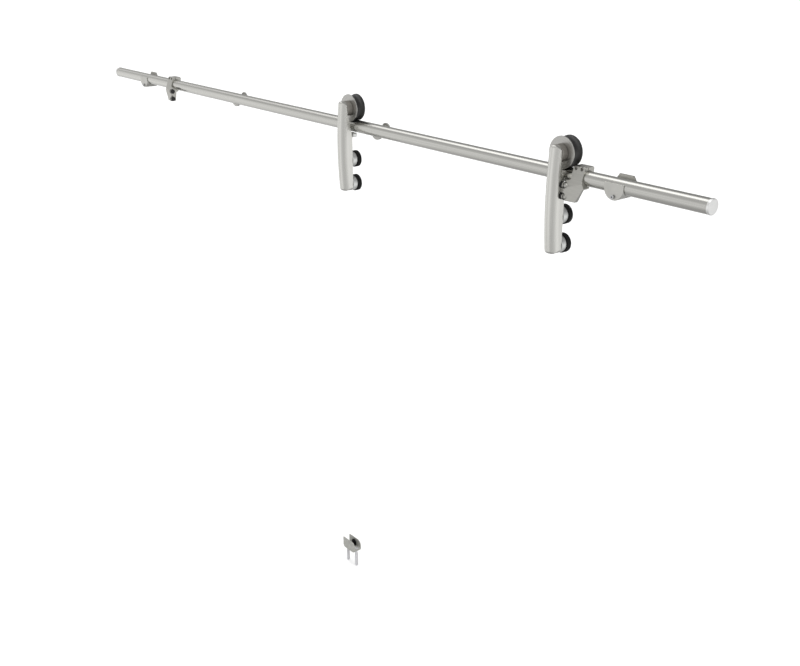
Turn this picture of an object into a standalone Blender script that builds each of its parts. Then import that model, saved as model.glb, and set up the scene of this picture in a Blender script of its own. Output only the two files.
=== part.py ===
"""Sliding door hardware for a glass panel: a round rail on wall brackets, two hanging trolleys,
two end stops and a floor guide. All sizes are in metres.

X runs along the rail (+X to the right), Y runs towards the wall and Z is up. The world origin is on the
wall face of the right-hand end bracket. Pieces are placed from the rail's axis: the empty rail_axis sits
at the rail's right-hand end, and the numbers below are measured from it.
"""
import math

import bmesh
import bpy
from mathutils import Matrix, Vector

GAP = 0.0003                     # clearance between two pieces that meet
TINY = 0.00001                   # merge distance for turned shapes
STEPS = 24                       # facets round a large turned piece
FINE_STEPS = 12                  # facets round a small turned piece
SMOOTH_BELOW = math.radians(35)  # faces that meet at less than this are shaded as one surface

# rail
RAIL_LENGTH = 1.955
RAIL_RADIUS = 0.0125
RAIL_BORE_RADIUS = 0.0105
CRADLE_RADIUS = RAIL_RADIUS + GAP
CAP_FLANGE_RADIUS = 0.0128
CAP_FLANGE = 0.0045
CAP_PLUG = 0.014

# places along the rail, from its right-hand end
END_BRACKET_X = {"right": -0.170, "left": -1.785}
MID_BRACKET_X = {"right": -0.788, "left": -1.331}
TROLLEY_X = {"right": -0.285, "left": -0.867}
LEFT_BUFFER_FACE_X = -1.6115

# wall brackets
WALL_Y = 0.025                   # rail axis to wall
MOUNT_DROP = 0.010               # the origin lies this far below the rail axis
BRACKET_HALF_WIDTH = 0.0195
BRACKET_TOP = 0.0154
BRACKET_TOP_HALF_WIDTH = 0.014
BRACKET_SHOULDER = 0.0072
BRACKET_ARC_Z = -0.0022          # centre of the rounded lower edge
BRACKET_BACK_Y = 0.0165          # front of the thin plate that stands above the rail
BRACKET_REAR_Y = 0.0190
BRACKET_SPLIT_Y = 0.003          # joint between saddle and wall block
SADDLE_FRONT_Y = -0.014
SADDLE_LIP = 0.0055
SADDLE_SCREW_Z = -0.0159
SADDLE_SCREW_LENGTH = 0.028
BOSS_RADIUS = 0.009              # the round foot between the block and the wall
BOSS_Z = -0.004
ANCHOR_HOLE_RADIUS = 0.0034      # tapping size of M8
ANCHOR_HOLE_DEPTH = 0.011
POST_Z = -0.001                  # axis of the middle bracket
POST_FLANGE_RADIUS = 0.0135
POST_FLANGE_Y = 0.0225
POST_NECK_RADIUS = 0.008
POST_NECK_Y = 0.016
POST_BODY_RADIUS = 0.014
POST_LIP_RADIUS = 0.0175
POST_LIP_Y = (-0.002, 0.003)
POST_CRADLE_Z = -0.0005          # the cradle ends here, below the rail's axis

# trolley
WHEEL_Z = 0.036
WHEEL_RIM_RADIUS = 0.0268
DISC_RADIUS = 0.0275
DISC_FRONT_Y = -0.011
DISC_BACK_Y = -0.0092
WHEEL_REAR_Y = 0.011
BEARING_OUTER_RADIUS = 0.013
AXLE_RADIUS = 0.0047
AXLE_TIP_Y = -0.0288
BEARING_HALF_WIDTH = 0.004
BALL_PITCH_RADIUS = 0.009
BALL_RADIUS = 0.0021
BALL_COUNT = 7
CAGE_STEPS = 3 * BALL_COUNT
BAR_HALF_WIDTH = 0.013
BAR_TOP = 0.051
BAR_BOTTOM = -0.133
BAR_CORNER = 0.007
BAR_BACK_Y = -0.0125
BAR_TOP_BACK_Y = -0.0235
BAR_TAPER = (-0.018, 0.020)      # heights between which the back steps forward
BAR_CREST_Y = -0.039             # front line at half height, and how far the ends bow back
BAR_CREST_BOW = 0.005
BAR_EDGE_Y = -0.0225             # where the rounded front meets the flat sides, and its bow
BAR_EDGE_BOW = 0.0065
BAR_LAND = 0.0005                # flat side left where the back cuts the rounded front
HUB_RADIUS = 0.015
JUMP_BLOCK_HALF_WIDTH = 0.0165
JUMP_BLOCK_Z = (-0.0215, -0.0133)
JUMP_BLOCK_END_Y = -0.003
JUMP_BLOCK_CORNER = 0.002
FIXING_Z = {"upper": -0.0697, "lower": -0.1200}
FIXING_TIP_Y = -0.0240
SPACER_RADIUS = 0.0149
SPACER_END_Y = -0.0015
GASKET_RADIUS = 0.0169
GASKET_END_Y = 0.0083
SINK_RADIUS = 0.0080
SINK_DEPTH = 0.0042

# end stop: toward is the direction of the trolley, along X
STOP_HALF_WIDTH = 0.012
STOP_TOP = 0.0192
STOP_CENTRE_TO_FACE = 0.026      # clamp's middle to the face of its buffers
STOP_JAW_BACK_Y = -0.002
STOP_JAW_GAP = 0.0009
STOP_HEAD_TOP = -0.016           # the head below the rail starts here
STOP_HEAD_BOTTOM = -0.039
STOP_HEAD_FRONT = (-0.0194, -6.3)   # at the clamp's middle, and its turn in plan, in degrees
STOP_HEAD_REAR = (-0.0115, 10.1)
STOP_SCREW_Z = 0.0156
STOP_SCREW_PITCH = 0.0125
STOP_SCREW_SEAT_Y = -0.0085
STOP_SCREW_LENGTH = 0.0170
BUFFER_Y = -0.0192
BUFFER_Z = {"upper": -0.0140, "lower": -0.0328}
BUFFER_RADIUS = 0.006
BUFFER_THICKNESS = 0.0030
BUFFER_CUP_RADIUS = 0.0056
BUFFER_STEM_RADIUS = 0.0022

# floor guide
GUIDE_X = -0.916
GUIDE_Y = (0.0018, 0.0225)
GUIDE_HALF_LENGTH = 0.0225
GUIDE_Z = (-1.0515, -1.024)
GUIDE_SLOT_Y = (0.0040, 0.0202)
GUIDE_FLOOR_Z = -1.0420
GUIDE_TOP_CORNER = 0.012
GUIDE_LOW_CORNER = 0.008
LINER_WALL = 0.0025
LINER_HALF_LENGTH = 0.010
LINER_TOP = -1.028
GUIDE_SCREW_PITCH = 0.0335
GUIDE_SCREW_END_Z = -1.092

# shank radii
M3 = 0.0015
M4 = 0.0020
M6 = 0.0030
M8 = 0.0040

TO_WALL = (-math.pi / 2, 0.0, 0.0)         # turns local +Z to +Y
TO_RIGHT = (0.0, math.pi / 2, 0.0)         # turns local +Z to +X
TO_LEFT = (0.0, -math.pi / 2, 0.0)         # turns local +Z to -X
UPRIGHT = (0.0, 0.0, 0.0)

STEEL = ("satin_steel", (0.62, 0.61, 0.58), 0.32, 1.0)
BRUSHED = ("brushed_steel", (0.58, 0.57, 0.54), 0.38, 1.0)
BEARING_STEEL = ("bearing_steel", (0.70, 0.70, 0.70), 0.15, 1.0)
ZINC = ("zinc_screw", (0.66, 0.66, 0.68), 0.35, 1.0)
POLYMER = ("black_polymer", (0.02, 0.02, 0.02), 0.45, 0.0)
RUBBER = ("black_rubber", (0.015, 0.015, 0.015), 0.75, 0.0)


# ---------------------------------------------------------------- scene helpers

def clear_scene():
    for old in list(bpy.data.objects):
        bpy.data.objects.remove(old, do_unlink=True)


def new_collection(name):
    made = bpy.data.collections.new(name)
    bpy.context.scene.collection.children.link(made)
    return made


def finish_material(finish):
    """The Principled material for one of the finishes above, made once."""
    name, colour, roughness, metallic = finish
    if name in bpy.data.materials:
        return bpy.data.materials[name]
    made = bpy.data.materials.new(name)
    made.use_nodes = True
    shader = made.node_tree.nodes["Principled BSDF"]
    shader.inputs["Base Color"].default_value = (*colour, 1.0)
    shader.inputs["Roughness"].default_value = roughness
    shader.inputs["Metallic"].default_value = metallic
    return made


def new_empty(name, parent, location):
    made = bpy.data.objects.new(name, None)
    PARTS.objects.link(made)
    made.parent = parent
    made.location = location
    return made


def place(made, finish, parent, location=(0.0, 0.0, 0.0), rotation=UPRIGHT):
    """Put a new object in the parts collection, or in the cutters if it has no finish."""
    if finish is None:
        CUTTERS.objects.link(made)
        made.hide_render = True
        made.display_type = "WIRE"
    else:
        PARTS.objects.link(made)
        own = finish_material(finish).copy()
        own.name = made.name + "_" + finish[0]
        made.data.materials.append(own)
    made.parent = parent
    made.location = location
    made.rotation_euler = rotation
    return made


def cut(body, tool, operation="DIFFERENCE"):
    step = body.modifiers.new(operation.title() + " " + tool.name, "BOOLEAN")
    step.operation = operation
    step.solver = "EXACT"
    step.object = tool
    return body


# ---------------------------------------------------------------- shapes

def settled_mesh(draft, name):
    """The mesh that a curve or a profile with modifiers makes; the draft object is removed."""
    bpy.context.scene.collection.objects.link(draft)
    bpy.context.view_layer.update()
    evaluated = draft.evaluated_get(bpy.context.evaluated_depsgraph_get())
    data = bpy.data.meshes.new_from_object(evaluated)
    data.name = name
    bpy.data.objects.remove(draft, do_unlink=True)
    return data


def turned(name, profile, finish, parent, location=(0.0, 0.0, 0.0), rotation=UPRIGHT,
           steps=STEPS, closed=False):
    """A solid of revolution about local Z from (radius, height) points that run down the outer side."""
    line = bpy.data.meshes.new(name + "_profile")
    points = [(radius, 0.0, height) for radius, height in profile]
    edges = [(i, i + 1) for i in range(len(points) - 1)]
    if closed:
        edges.append((len(points) - 1, 0))
    line.from_pydata(points, edges, [])
    draft = bpy.data.objects.new(name + "_profile", line)
    screw = draft.modifiers.new("Turn", "SCREW")
    screw.axis = "Z"
    screw.angle = 2.0 * math.pi
    screw.steps = steps
    screw.render_steps = steps
    screw.use_merge_vertices = True
    screw.merge_threshold = TINY
    data = settled_mesh(draft, name)
    data.shade_smooth()
    data.set_sharp_from_angle(angle=SMOOTH_BELOW)
    return place(bpy.data.objects.new(name, data), finish, parent, location, rotation)


def rod(name, radius, low, high, finish, parent, location=(0.0, 0.0, 0.0), rotation=UPRIGHT, steps=STEPS):
    """A plain round bar between two heights on local Z."""
    profile = [(0.0, high), (radius, high), (radius, low), (0.0, low)]
    return turned(name, profile, finish, parent, location, rotation, steps)


def ring(name, inner, outer, low, high, finish, parent, location=(0.0, 0.0, 0.0), rotation=UPRIGHT,
         steps=STEPS, chamfer=0.0003):
    """A plain ring about local Z with chamfered outer edges."""
    profile = [
        (outer - chamfer, high),
        (outer, high - chamfer),
        (outer, low + chamfer),
        (outer - chamfer, low),
        (inner, low),
        (inner, high),
    ]
    return turned(name, profile, finish, parent, location, rotation, steps, closed=True)


def block(name, low, high, finish, parent, location=(0.0, 0.0, 0.0), rotation=UPRIGHT):
    """A box between two corners."""
    low = Vector(low)
    high = Vector(high)
    shape = bmesh.new()
    bmesh.ops.create_cube(shape, size=1.0)
    bmesh.ops.scale(shape, vec=high - low, verts=shape.verts)
    bmesh.ops.translate(shape, vec=(high + low) / 2.0, verts=shape.verts)
    data = bpy.data.meshes.new(name)
    shape.to_mesh(data)
    shape.free()
    return place(bpy.data.objects.new(name, data), finish, parent, location, rotation)


def plate(name, outline, low, high, finish, parent, location=(0.0, 0.0, 0.0), plane="XZ"):
    """A flat outline with thickness: drawn in XZ and pushed along Y, or drawn in YZ and pushed along X."""
    curve = bpy.data.curves.new(name + "_outline", "CURVE")
    curve.dimensions = "2D"
    curve.fill_mode = "BOTH"
    curve.extrude = (high - low) / 2.0
    spline = curve.splines.new("POLY")
    spline.points.add(len(outline) - 1)
    for point, (across, up) in zip(spline.points, outline):
        point.co = (across, up, 0.0, 1.0)
    spline.use_cyclic_u = True
    data = settled_mesh(bpy.data.objects.new(name + "_outline", curve), name)
    middle = (low + high) / 2.0
    if plane == "XZ":
        turn = Matrix(((1, 0, 0, 0), (0, 0, -1, middle), (0, 1, 0, 0), (0, 0, 0, 1)))
    else:
        turn = Matrix(((0, 0, 1, middle), (1, 0, 0, 0), (0, 1, 0, 0), (0, 0, 0, 1)))
    shape = bmesh.new()
    shape.from_mesh(data)
    bmesh.ops.remove_doubles(shape, verts=shape.verts, dist=TINY)
    bmesh.ops.transform(shape, matrix=turn, verts=shape.verts)
    bmesh.ops.dissolve_limit(shape, angle_limit=0.001, verts=shape.verts, edges=shape.edges)
    bmesh.ops.recalc_face_normals(shape, faces=shape.faces)
    shape.to_mesh(data)
    shape.free()
    data.shade_smooth()
    data.set_sharp_from_angle(angle=SMOOTH_BELOW)
    return place(bpy.data.objects.new(name, data), finish, parent, location)


def arc(centre, radius, start, end, count):
    """Points on a circle from one angle to another, in degrees."""
    angles = [math.radians(start + (end - start) * i / count) for i in range(count + 1)]
    return [(centre[0] + radius * math.cos(a), centre[1] + radius * math.sin(a)) for a in angles]


def hex_pit(name, radius, low, high, parent, location=(0.0, 0.0, 0.0), rotation=UPRIGHT):
    """The cutter of a hexagon socket."""
    return rod(name, radius, low, high, None, parent, location, rotation, steps=6)


def screw_with_socket(name, head_radius, head, shank_radius, shank, finish, parent, location, rotation):
    """A cap screw about local Z: its head stands on z = 0 and its shank hangs below."""
    chamfer = 0.0004
    profile = [
        (0.0, head),
        (head_radius - chamfer, head),
        (head_radius, head - chamfer),
        (head_radius, 0.0),
        (shank_radius, 0.0),
        (shank_radius, chamfer - shank),
        (shank_radius - chamfer, -shank),
        (0.0, -shank),
    ]
    made = turned(name, profile, finish, parent, location, rotation, FINE_STEPS)
    socket = hex_pit(name + "_socket", head_radius * 0.5, head * 0.35, head * 1.5, parent, location, rotation)
    return cut(made, socket)


# ---------------------------------------------------------------- rail

def rail(axis):
    ring("rail_tube", RAIL_BORE_RADIUS, RAIL_RADIUS, -RAIL_LENGTH + GAP, -GAP, BRUSHED, axis,
         rotation=TO_RIGHT, steps=32, chamfer=0.0002)
    for side, place_x, turn in (("right", 0.0, TO_RIGHT), ("left", -RAIL_LENGTH, TO_LEFT)):
        edge = 0.0012
        profile = [
            (0.0, CAP_FLANGE),
            (CAP_FLANGE_RADIUS - edge, CAP_FLANGE),
            (CAP_FLANGE_RADIUS, CAP_FLANGE - edge),
            (CAP_FLANGE_RADIUS, 0.0),
            (RAIL_BORE_RADIUS - GAP, 0.0),
            (RAIL_BORE_RADIUS - GAP, -CAP_PLUG),
            (0.0, -CAP_PLUG),
        ]
        turned("rail_cap_" + side, profile, STEEL, axis, (place_x, 0.0, 0.0), turn)


# ---------------------------------------------------------------- wall brackets

def bracket_outline():
    """Front view of an end bracket: chamfered shoulders above, a half round below."""
    lower = arc((0.0, BRACKET_ARC_Z), BRACKET_HALF_WIDTH, 180.0, 360.0, 14)
    upper = [
        (BRACKET_HALF_WIDTH, BRACKET_SHOULDER),
        (BRACKET_TOP_HALF_WIDTH, BRACKET_TOP),
        (-BRACKET_TOP_HALF_WIDTH, BRACKET_TOP),
        (-BRACKET_HALF_WIDTH, BRACKET_SHOULDER),
    ]
    return lower + upper


def rail_cutter(name, parent):
    reach = 0.06
    return rod(name, CRADLE_RADIUS, -reach, reach, None, parent, rotation=TO_RIGHT, steps=32)


def anchor_hole(name, height, parent):
    """The blind threaded hole that takes the wall anchor."""
    return rod(name, ANCHOR_HOLE_RADIUS, WALL_Y - ANCHOR_HOLE_DEPTH, WALL_Y + 0.01, None, parent,
               (0.0, 0.0, height), TO_WALL, FINE_STEPS)


def end_bracket(side, axis):
    seat = new_empty("end_bracket_" + side, axis, (END_BRACKET_X[side], 0.0, 0.0))
    channel = rail_cutter("end_bracket_channel_" + side, seat)
    thread = rod("end_bracket_thread_" + side, M4 + GAP, -0.02, 0.0145, None, seat,
                 (0.0, 0.0, SADDLE_SCREW_Z), TO_WALL, FINE_STEPS)
    wide = 0.05
    cradle_top = 0.002

    body = plate("end_bracket_block_" + side, bracket_outline(), BRACKET_SPLIT_Y + GAP, BRACKET_REAR_Y, STEEL,
                 seat)
    foot = rod("end_bracket_foot_" + side, BOSS_RADIUS, BRACKET_REAR_Y - 0.001, WALL_Y, None, seat,
               (0.0, 0.0, BOSS_Z), TO_WALL)
    cut(body, foot, "UNION")
    above = block("end_bracket_above_" + side, (-wide, -wide, cradle_top), (wide, BRACKET_BACK_Y, wide), None,
                  seat)
    for tool in (channel, above, anchor_hole("end_bracket_hole_" + side, BOSS_Z, seat), thread):
        cut(body, tool)

    saddle = plate("end_bracket_saddle_" + side, bracket_outline(), SADDLE_FRONT_Y, BRACKET_SPLIT_Y, STEEL, seat)
    lid = block("saddle_above_" + side, (-wide, -wide, SADDLE_LIP), (wide, wide, wide), None, seat)
    for tool in (channel, lid, thread):
        cut(saddle, tool)

    screw_with_socket("end_bracket_screw_" + side, 0.0034, 0.003, M4, SADDLE_SCREW_LENGTH, ZINC, seat,
                      (0.0, SADDLE_FRONT_Y - GAP, SADDLE_SCREW_Z), (math.pi / 2, 0.0, 0.0))


def mid_bracket(side, axis):
    """A turned post from the wall, cut to a cradle under the rail with a lip at its front."""
    seat = new_empty("mid_bracket_seat_" + side, axis, (MID_BRACKET_X[side], 0.0, 0.0))
    edge = 0.0008
    lip_front, lip_rear = POST_LIP_Y
    profile = [
        (0.0, WALL_Y),
        (POST_FLANGE_RADIUS, WALL_Y),
        (POST_FLANGE_RADIUS, POST_FLANGE_Y + edge),
        (POST_FLANGE_RADIUS - edge, POST_FLANGE_Y),
        (POST_NECK_RADIUS, POST_FLANGE_Y),
        (POST_NECK_RADIUS, POST_NECK_Y),
        (POST_BODY_RADIUS, POST_NECK_Y),
        (POST_BODY_RADIUS, lip_rear),
        (POST_LIP_RADIUS, lip_rear),
        (POST_LIP_RADIUS, lip_front),
        (0.0, lip_front),
    ]
    body = turned("mid_bracket_" + side, profile, STEEL, seat, (0.0, 0.0, POST_Z), TO_WALL)
    wide = 0.04
    above = block("mid_bracket_above_" + side, (-wide, -wide, POST_CRADLE_Z), (wide, POST_NECK_Y, wide), None,
                  seat)
    channel = rail_cutter("mid_bracket_channel_" + side, seat)
    for tool in (channel, above, anchor_hole("mid_bracket_hole_" + side, POST_Z, seat)):
        cut(body, tool)


# ---------------------------------------------------------------- trolley

def bar_section(z):
    """Half width, back, front line and edge of the hanger bar at one height."""
    half = BAR_HALF_WIDTH
    top_centre = BAR_TOP - BAR_HALF_WIDTH
    foot_centre = BAR_BOTTOM + BAR_CORNER
    if z > top_centre:
        half = math.sqrt(max(BAR_HALF_WIDTH ** 2 - (z - top_centre) ** 2, 0.0))
    if z < foot_centre:
        half += math.sqrt(max(BAR_CORNER ** 2 - (foot_centre - z) ** 2, 0.0)) - BAR_CORNER
    low, high = BAR_TAPER
    step = min(max((z - low) / (high - low), 0.0), 1.0)
    back = BAR_BACK_Y + (BAR_TOP_BACK_Y - BAR_BACK_Y) * step
    middle = (BAR_TOP + BAR_BOTTOM) / 2.0
    reach = (z - middle) / (BAR_TOP - middle)
    crest = BAR_CREST_Y + BAR_CREST_BOW * reach ** 2
    edge = BAR_EDGE_Y + BAR_EDGE_BOW * reach ** 2
    sunk = max(edge - back + BAR_LAND, 0.0) / (edge - crest)
    half = min(half, BAR_HALF_WIDTH * math.sqrt(1.0 - sunk ** 2))
    return half, back, crest, edge


def bar_heights():
    top_centre = BAR_TOP - BAR_HALF_WIDTH
    foot_centre = BAR_BOTTOM + BAR_CORNER
    foot = [foot_centre - BAR_CORNER * math.sin(math.radians(a)) for a in (84, 60, 35, 12)]
    shank = [-0.115, -0.093, -0.067, -0.041, BAR_TAPER[0], -0.005, 0.008, BAR_TAPER[1], 0.030]
    head = [top_centre + BAR_HALF_WIDTH * math.sin(math.radians(a)) for a in (0, 18, 36, 54, 70, 83)]
    return foot + shank + head


def hanger_bar(side, trolley):
    """The bowed bar with a rounded front: a loft through its cross-sections, then drilled from behind."""
    shape = bmesh.new()
    facets = 10
    loops = []
    for z in bar_heights():
        half, back, crest, edge = bar_section(z)
        ring_points = [(-half, back)]
        for i in range(facets + 1):
            across = -half * math.cos(math.pi * i / facets)
            rise = math.sqrt(max(1.0 - (across / BAR_HALF_WIDTH) ** 2, 0.0))
            ring_points.append((across, edge - (edge - crest) * rise))
        ring_points.append((half, back))
        loops.append([shape.verts.new((x, y, z)) for x, y in ring_points])
    for lower, upper in zip(loops, loops[1:]):
        for i in range(len(lower)):
            j = (i + 1) % len(lower)
            shape.faces.new((lower[i], lower[j], upper[j], upper[i]))
    shape.faces.new(loops[0][::-1])
    shape.faces.new(loops[-1])
    bmesh.ops.recalc_face_normals(shape, faces=shape.faces)
    data = bpy.data.meshes.new("hanger_bar_" + side)
    shape.to_mesh(data)
    shape.free()
    bar = place(bpy.data.objects.new("hanger_bar_" + side, data), STEEL, trolley)

    drills = (
        ("axle_drill_", WHEEL_Z, AXLE_RADIUS, AXLE_TIP_Y),
        ("block_drill_", sum(JUMP_BLOCK_Z) / 2.0, M4, FIXING_TIP_Y),
        ("upper_drill_", FIXING_Z["upper"], M8, FIXING_TIP_Y),
        ("lower_drill_", FIXING_Z["lower"], M8, FIXING_TIP_Y),
    )
    for label, height, radius, tip in drills:
        tool = rod(label + side, radius + GAP, tip - 0.0005, 0.0, None, trolley, (0.0, 0.0, height), TO_WALL,
                   FINE_STEPS)
        cut(bar, tool)


def wheel_tyre(side, wheel):
    """The black running wheel with the groove that fits the rail, about local Z along the axle."""
    groove = CRADLE_RADIUS
    half = 0.0088
    points = []
    for i in range(7):
        across = -half + 2.0 * half * i / 6
        drop = math.sqrt(groove ** 2 - across ** 2)
        points.append((min(WHEEL_Z - drop, WHEEL_RIM_RADIUS), -across))
    bore = BEARING_OUTER_RADIUS + GAP
    lip = BEARING_OUTER_RADIUS - 0.0025
    front = DISC_BACK_Y + GAP
    rear_edge = 0.0006
    profile = [(WHEEL_RIM_RADIUS - rear_edge, WHEEL_REAR_Y), (WHEEL_RIM_RADIUS, WHEEL_REAR_Y - rear_edge)]
    profile += points
    profile += [
        (WHEEL_RIM_RADIUS, front),
        (bore, front),
        (bore, BEARING_HALF_WIDTH + GAP),
        (lip, BEARING_HALF_WIDTH + GAP),
        (lip, 0.0062),
        (0.016, 0.0075),
        (0.016, WHEEL_REAR_Y),
    ]
    turned("wheel_tyre_" + side, profile, POLYMER, wheel, rotation=TO_WALL, closed=True)


def bearing(side, hub, cage, wheel):
    """A deep-groove ball bearing: inner ring on the axle, balls in their cage, outer ring in the tyre."""
    groove = BALL_RADIUS + 0.0002
    half_groove = 0.0016
    groove_points = [(math.sqrt(groove ** 2 - t ** 2), t) for t in (half_groove, 0.0, -half_groove)]
    inner_wall = 0.0076
    inner = [(inner_wall, BEARING_HALF_WIDTH)]
    inner += [(min(BALL_PITCH_RADIUS - depth, inner_wall), height) for depth, height in groove_points]
    inner += [(inner_wall, -BEARING_HALF_WIDTH)]
    bore = AXLE_RADIUS + GAP
    inner += [(bore, -BEARING_HALF_WIDTH), (bore, BEARING_HALF_WIDTH)]
    turned("bearing_inner_ring_" + side, inner, BEARING_STEEL, hub, rotation=TO_WALL, closed=True)

    outer_wall = 0.0104
    outer = [
        (BEARING_OUTER_RADIUS, BEARING_HALF_WIDTH),
        (BEARING_OUTER_RADIUS, -BEARING_HALF_WIDTH),
        (outer_wall, -BEARING_HALF_WIDTH),
    ]
    outer += [(max(BALL_PITCH_RADIUS + depth, outer_wall), -height) for depth, height in groove_points]
    outer += [(outer_wall, BEARING_HALF_WIDTH)]
    turned("bearing_outer_ring_" + side, outer, BEARING_STEEL, wheel, rotation=TO_WALL, closed=True)

    web = 0.0007
    body = ring("bearing_cage_" + side, BALL_PITCH_RADIUS - web, BALL_PITCH_RADIUS + web, -0.0010, 0.0010,
                BEARING_STEEL, cage, rotation=TO_WALL, steps=CAGE_STEPS, chamfer=0.0001)
    shape = bmesh.new()
    bmesh.ops.create_uvsphere(shape, u_segments=8, v_segments=4, radius=BALL_RADIUS)
    sphere = bpy.data.meshes.new("ball")
    shape.to_mesh(sphere)
    shape.free()
    for i in range(BALL_COUNT):
        angle = 2.0 * math.pi * (i + 0.5) / BALL_COUNT
        spot = (BALL_PITCH_RADIUS * math.cos(angle), 0.0, BALL_PITCH_RADIUS * math.sin(angle))
        ball = place(bpy.data.objects.new("ball_" + side + "_" + str(i), sphere), None, cage, spot)
        cut(body, ball, "UNION")


def wheel_disc(side, wheel):
    """The steel face of the wheel: a flange in front of the rail with a boss that holds the bearing."""
    bore = 0.0078
    edge = 0.0005
    profile = [
        (BEARING_OUTER_RADIUS - 0.0004, -BEARING_HALF_WIDTH - GAP),
        (BEARING_OUTER_RADIUS - 0.0004, DISC_BACK_Y),
        (DISC_RADIUS, DISC_BACK_Y),
        (DISC_RADIUS, DISC_FRONT_Y + edge),
        (DISC_RADIUS - edge, DISC_FRONT_Y),
        (bore, DISC_FRONT_Y),
        (bore, DISC_BACK_Y),
        (0.0108, DISC_BACK_Y + 0.0006),
        (0.0108, -BEARING_HALF_WIDTH - GAP),
    ]
    turned("wheel_disc_" + side, profile, BRUSHED, wheel, rotation=TO_WALL, closed=True)


def axle(side, hub):
    """The axle screw from behind and the spacer that carries the wheel clear of the bar."""
    head = BEARING_HALF_WIDTH + GAP
    screw_with_socket("axle_screw_" + side, 0.0068, 0.0048, AXLE_RADIUS, head - AXLE_TIP_Y, ZINC, hub,
                      (0.0, head, 0.0), TO_WALL)
    nose = 0.0070
    bore = AXLE_RADIUS + GAP
    face = DISC_FRONT_Y - 0.0004
    profile = [
        (nose, -BEARING_HALF_WIDTH - GAP),
        (nose, face),
        (HUB_RADIUS - 0.0005, face),
        (HUB_RADIUS, face - 0.0005),
        (HUB_RADIUS, BAR_TOP_BACK_Y + GAP),
        (bore, BAR_TOP_BACK_Y + GAP),
        (bore, -BEARING_HALF_WIDTH - GAP),
    ]
    turned("hub_spacer_" + side, profile, STEEL, hub, rotation=TO_WALL, closed=True)


def anti_jump_block(side, trolley):
    """The block that passes just under the rail and keeps the wheel from lifting off."""
    half = JUMP_BLOCK_HALF_WIDTH
    low, high = JUMP_BLOCK_Z
    corner = JUMP_BLOCK_CORNER
    outline = [
        *arc((half - corner, low + corner), corner, -90.0, 0.0, 3),
        *arc((half - corner, high - corner), corner, 0.0, 90.0, 3),
        *arc((-half + corner, high - corner), corner, 90.0, 180.0, 3),
        *arc((-half + corner, low + corner), corner, 180.0, 270.0, 3),
    ]
    body = plate("anti_jump_block_" + side, outline, BAR_BACK_Y + GAP, JUMP_BLOCK_END_Y, STEEL, trolley)
    stud = rod("anti_jump_stud_" + side, M4, FIXING_TIP_Y, JUMP_BLOCK_END_Y - 0.004, None, trolley,
               (0.0, 0.0, (low + high) / 2.0), TO_WALL, FINE_STEPS)
    cut(body, stud, "UNION")


def glass_fixing(side, level, trolley):
    """One point fixing: spacer, gasket and the countersunk screw that comes through the glass."""
    spot = (0.0, 0.0, FIXING_Z[level])
    label = level + "_" + side
    bore = M8 + GAP
    edge = 0.0006
    spacer = [
        (SPACER_RADIUS, SPACER_END_Y),
        (SPACER_RADIUS, BAR_BACK_Y + GAP + edge),
        (SPACER_RADIUS - edge, BAR_BACK_Y + GAP),
        (bore, BAR_BACK_Y + GAP),
        (bore, SPACER_END_Y),
    ]
    turned("glass_spacer_" + label, spacer, STEEL, trolley, spot, TO_WALL, closed=True)
    gasket = [
        (GASKET_RADIUS - edge, GASKET_END_Y),
        (GASKET_RADIUS, GASKET_END_Y - edge),
        (GASKET_RADIUS, SPACER_END_Y + GAP + edge),
        (GASKET_RADIUS - edge, SPACER_END_Y + GAP),
        (bore, SPACER_END_Y + GAP),
        (bore, GASKET_END_Y - SINK_DEPTH),
        (SINK_RADIUS + GAP, GASKET_END_Y),
    ]
    turned("glass_gasket_" + label, gasket, RUBBER, trolley, spot, TO_WALL, closed=True)
    top = GASKET_END_Y - 0.0002
    screw = [
        (0.0, top),
        (SINK_RADIUS - 0.0004, top),
        (M8, GASKET_END_Y - SINK_DEPTH - 0.0001),
        (M8, FIXING_TIP_Y + edge),
        (M8 - edge, FIXING_TIP_Y),
        (0.0, FIXING_TIP_Y),
    ]
    made = turned("glass_screw_" + label, screw, ZINC, trolley, spot, TO_WALL, FINE_STEPS)
    cut(made, hex_pit("glass_socket_" + label, 0.0028, top - 0.003, top + 0.002, trolley, spot, TO_WALL))


def trolley(side, axis):
    base = new_empty("trolley_" + side, axis, (TROLLEY_X[side], 0.0, 0.0))
    hub = new_empty("hub_" + side, base, (0.0, 0.0, WHEEL_Z))
    cage = new_empty("cage_" + side, base, (0.0, 0.0, WHEEL_Z))
    wheel = new_empty("wheel_" + side, base, (0.0, 0.0, WHEEL_Z))
    hanger_bar(side, base)
    axle(side, hub)
    bearing(side, hub, cage, wheel)
    wheel_tyre(side, wheel)
    wheel_disc(side, wheel)
    anti_jump_block(side, base)
    for level in FIXING_Z:
        glass_fixing(side, level, base)


# ---------------------------------------------------------------- end stops

def stop_front_outline(toward):
    """Front view of the front jaw: a clamp above the rail and a head that leans towards the trolley."""
    points = [
        (-STOP_HALF_WIDTH, STOP_TOP),
        (-STOP_HALF_WIDTH, -0.0030),
        (-0.0170, -0.0145),
        (-0.0025, STOP_HEAD_BOTTOM),
        (0.0175, STOP_HEAD_BOTTOM),
        (0.0195, -0.0180),
        (STOP_HALF_WIDTH, -0.0070),
        (STOP_HALF_WIDTH, STOP_TOP),
    ]
    return [(toward * across, up) for across, up in points]


def stop_side_outline():
    """Side view of the front jaw: rounded top, face leaning forward, head under the rail's front."""
    round_top = 0.0040
    top = arc((-0.0065, STOP_TOP - round_top), round_top, 90.0, 150.0, 4)
    below = STOP_HEAD_BOTTOM - 0.001
    return [
        (STOP_JAW_BACK_Y, STOP_TOP),
        *top,
        (-0.0195, -0.0120),
        (-0.0225, -0.0180),
        (-0.0225, below),
        (-0.0060, below),
        (-0.0060, STOP_HEAD_TOP),
        (STOP_JAW_BACK_Y, -0.0152),
    ]


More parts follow.
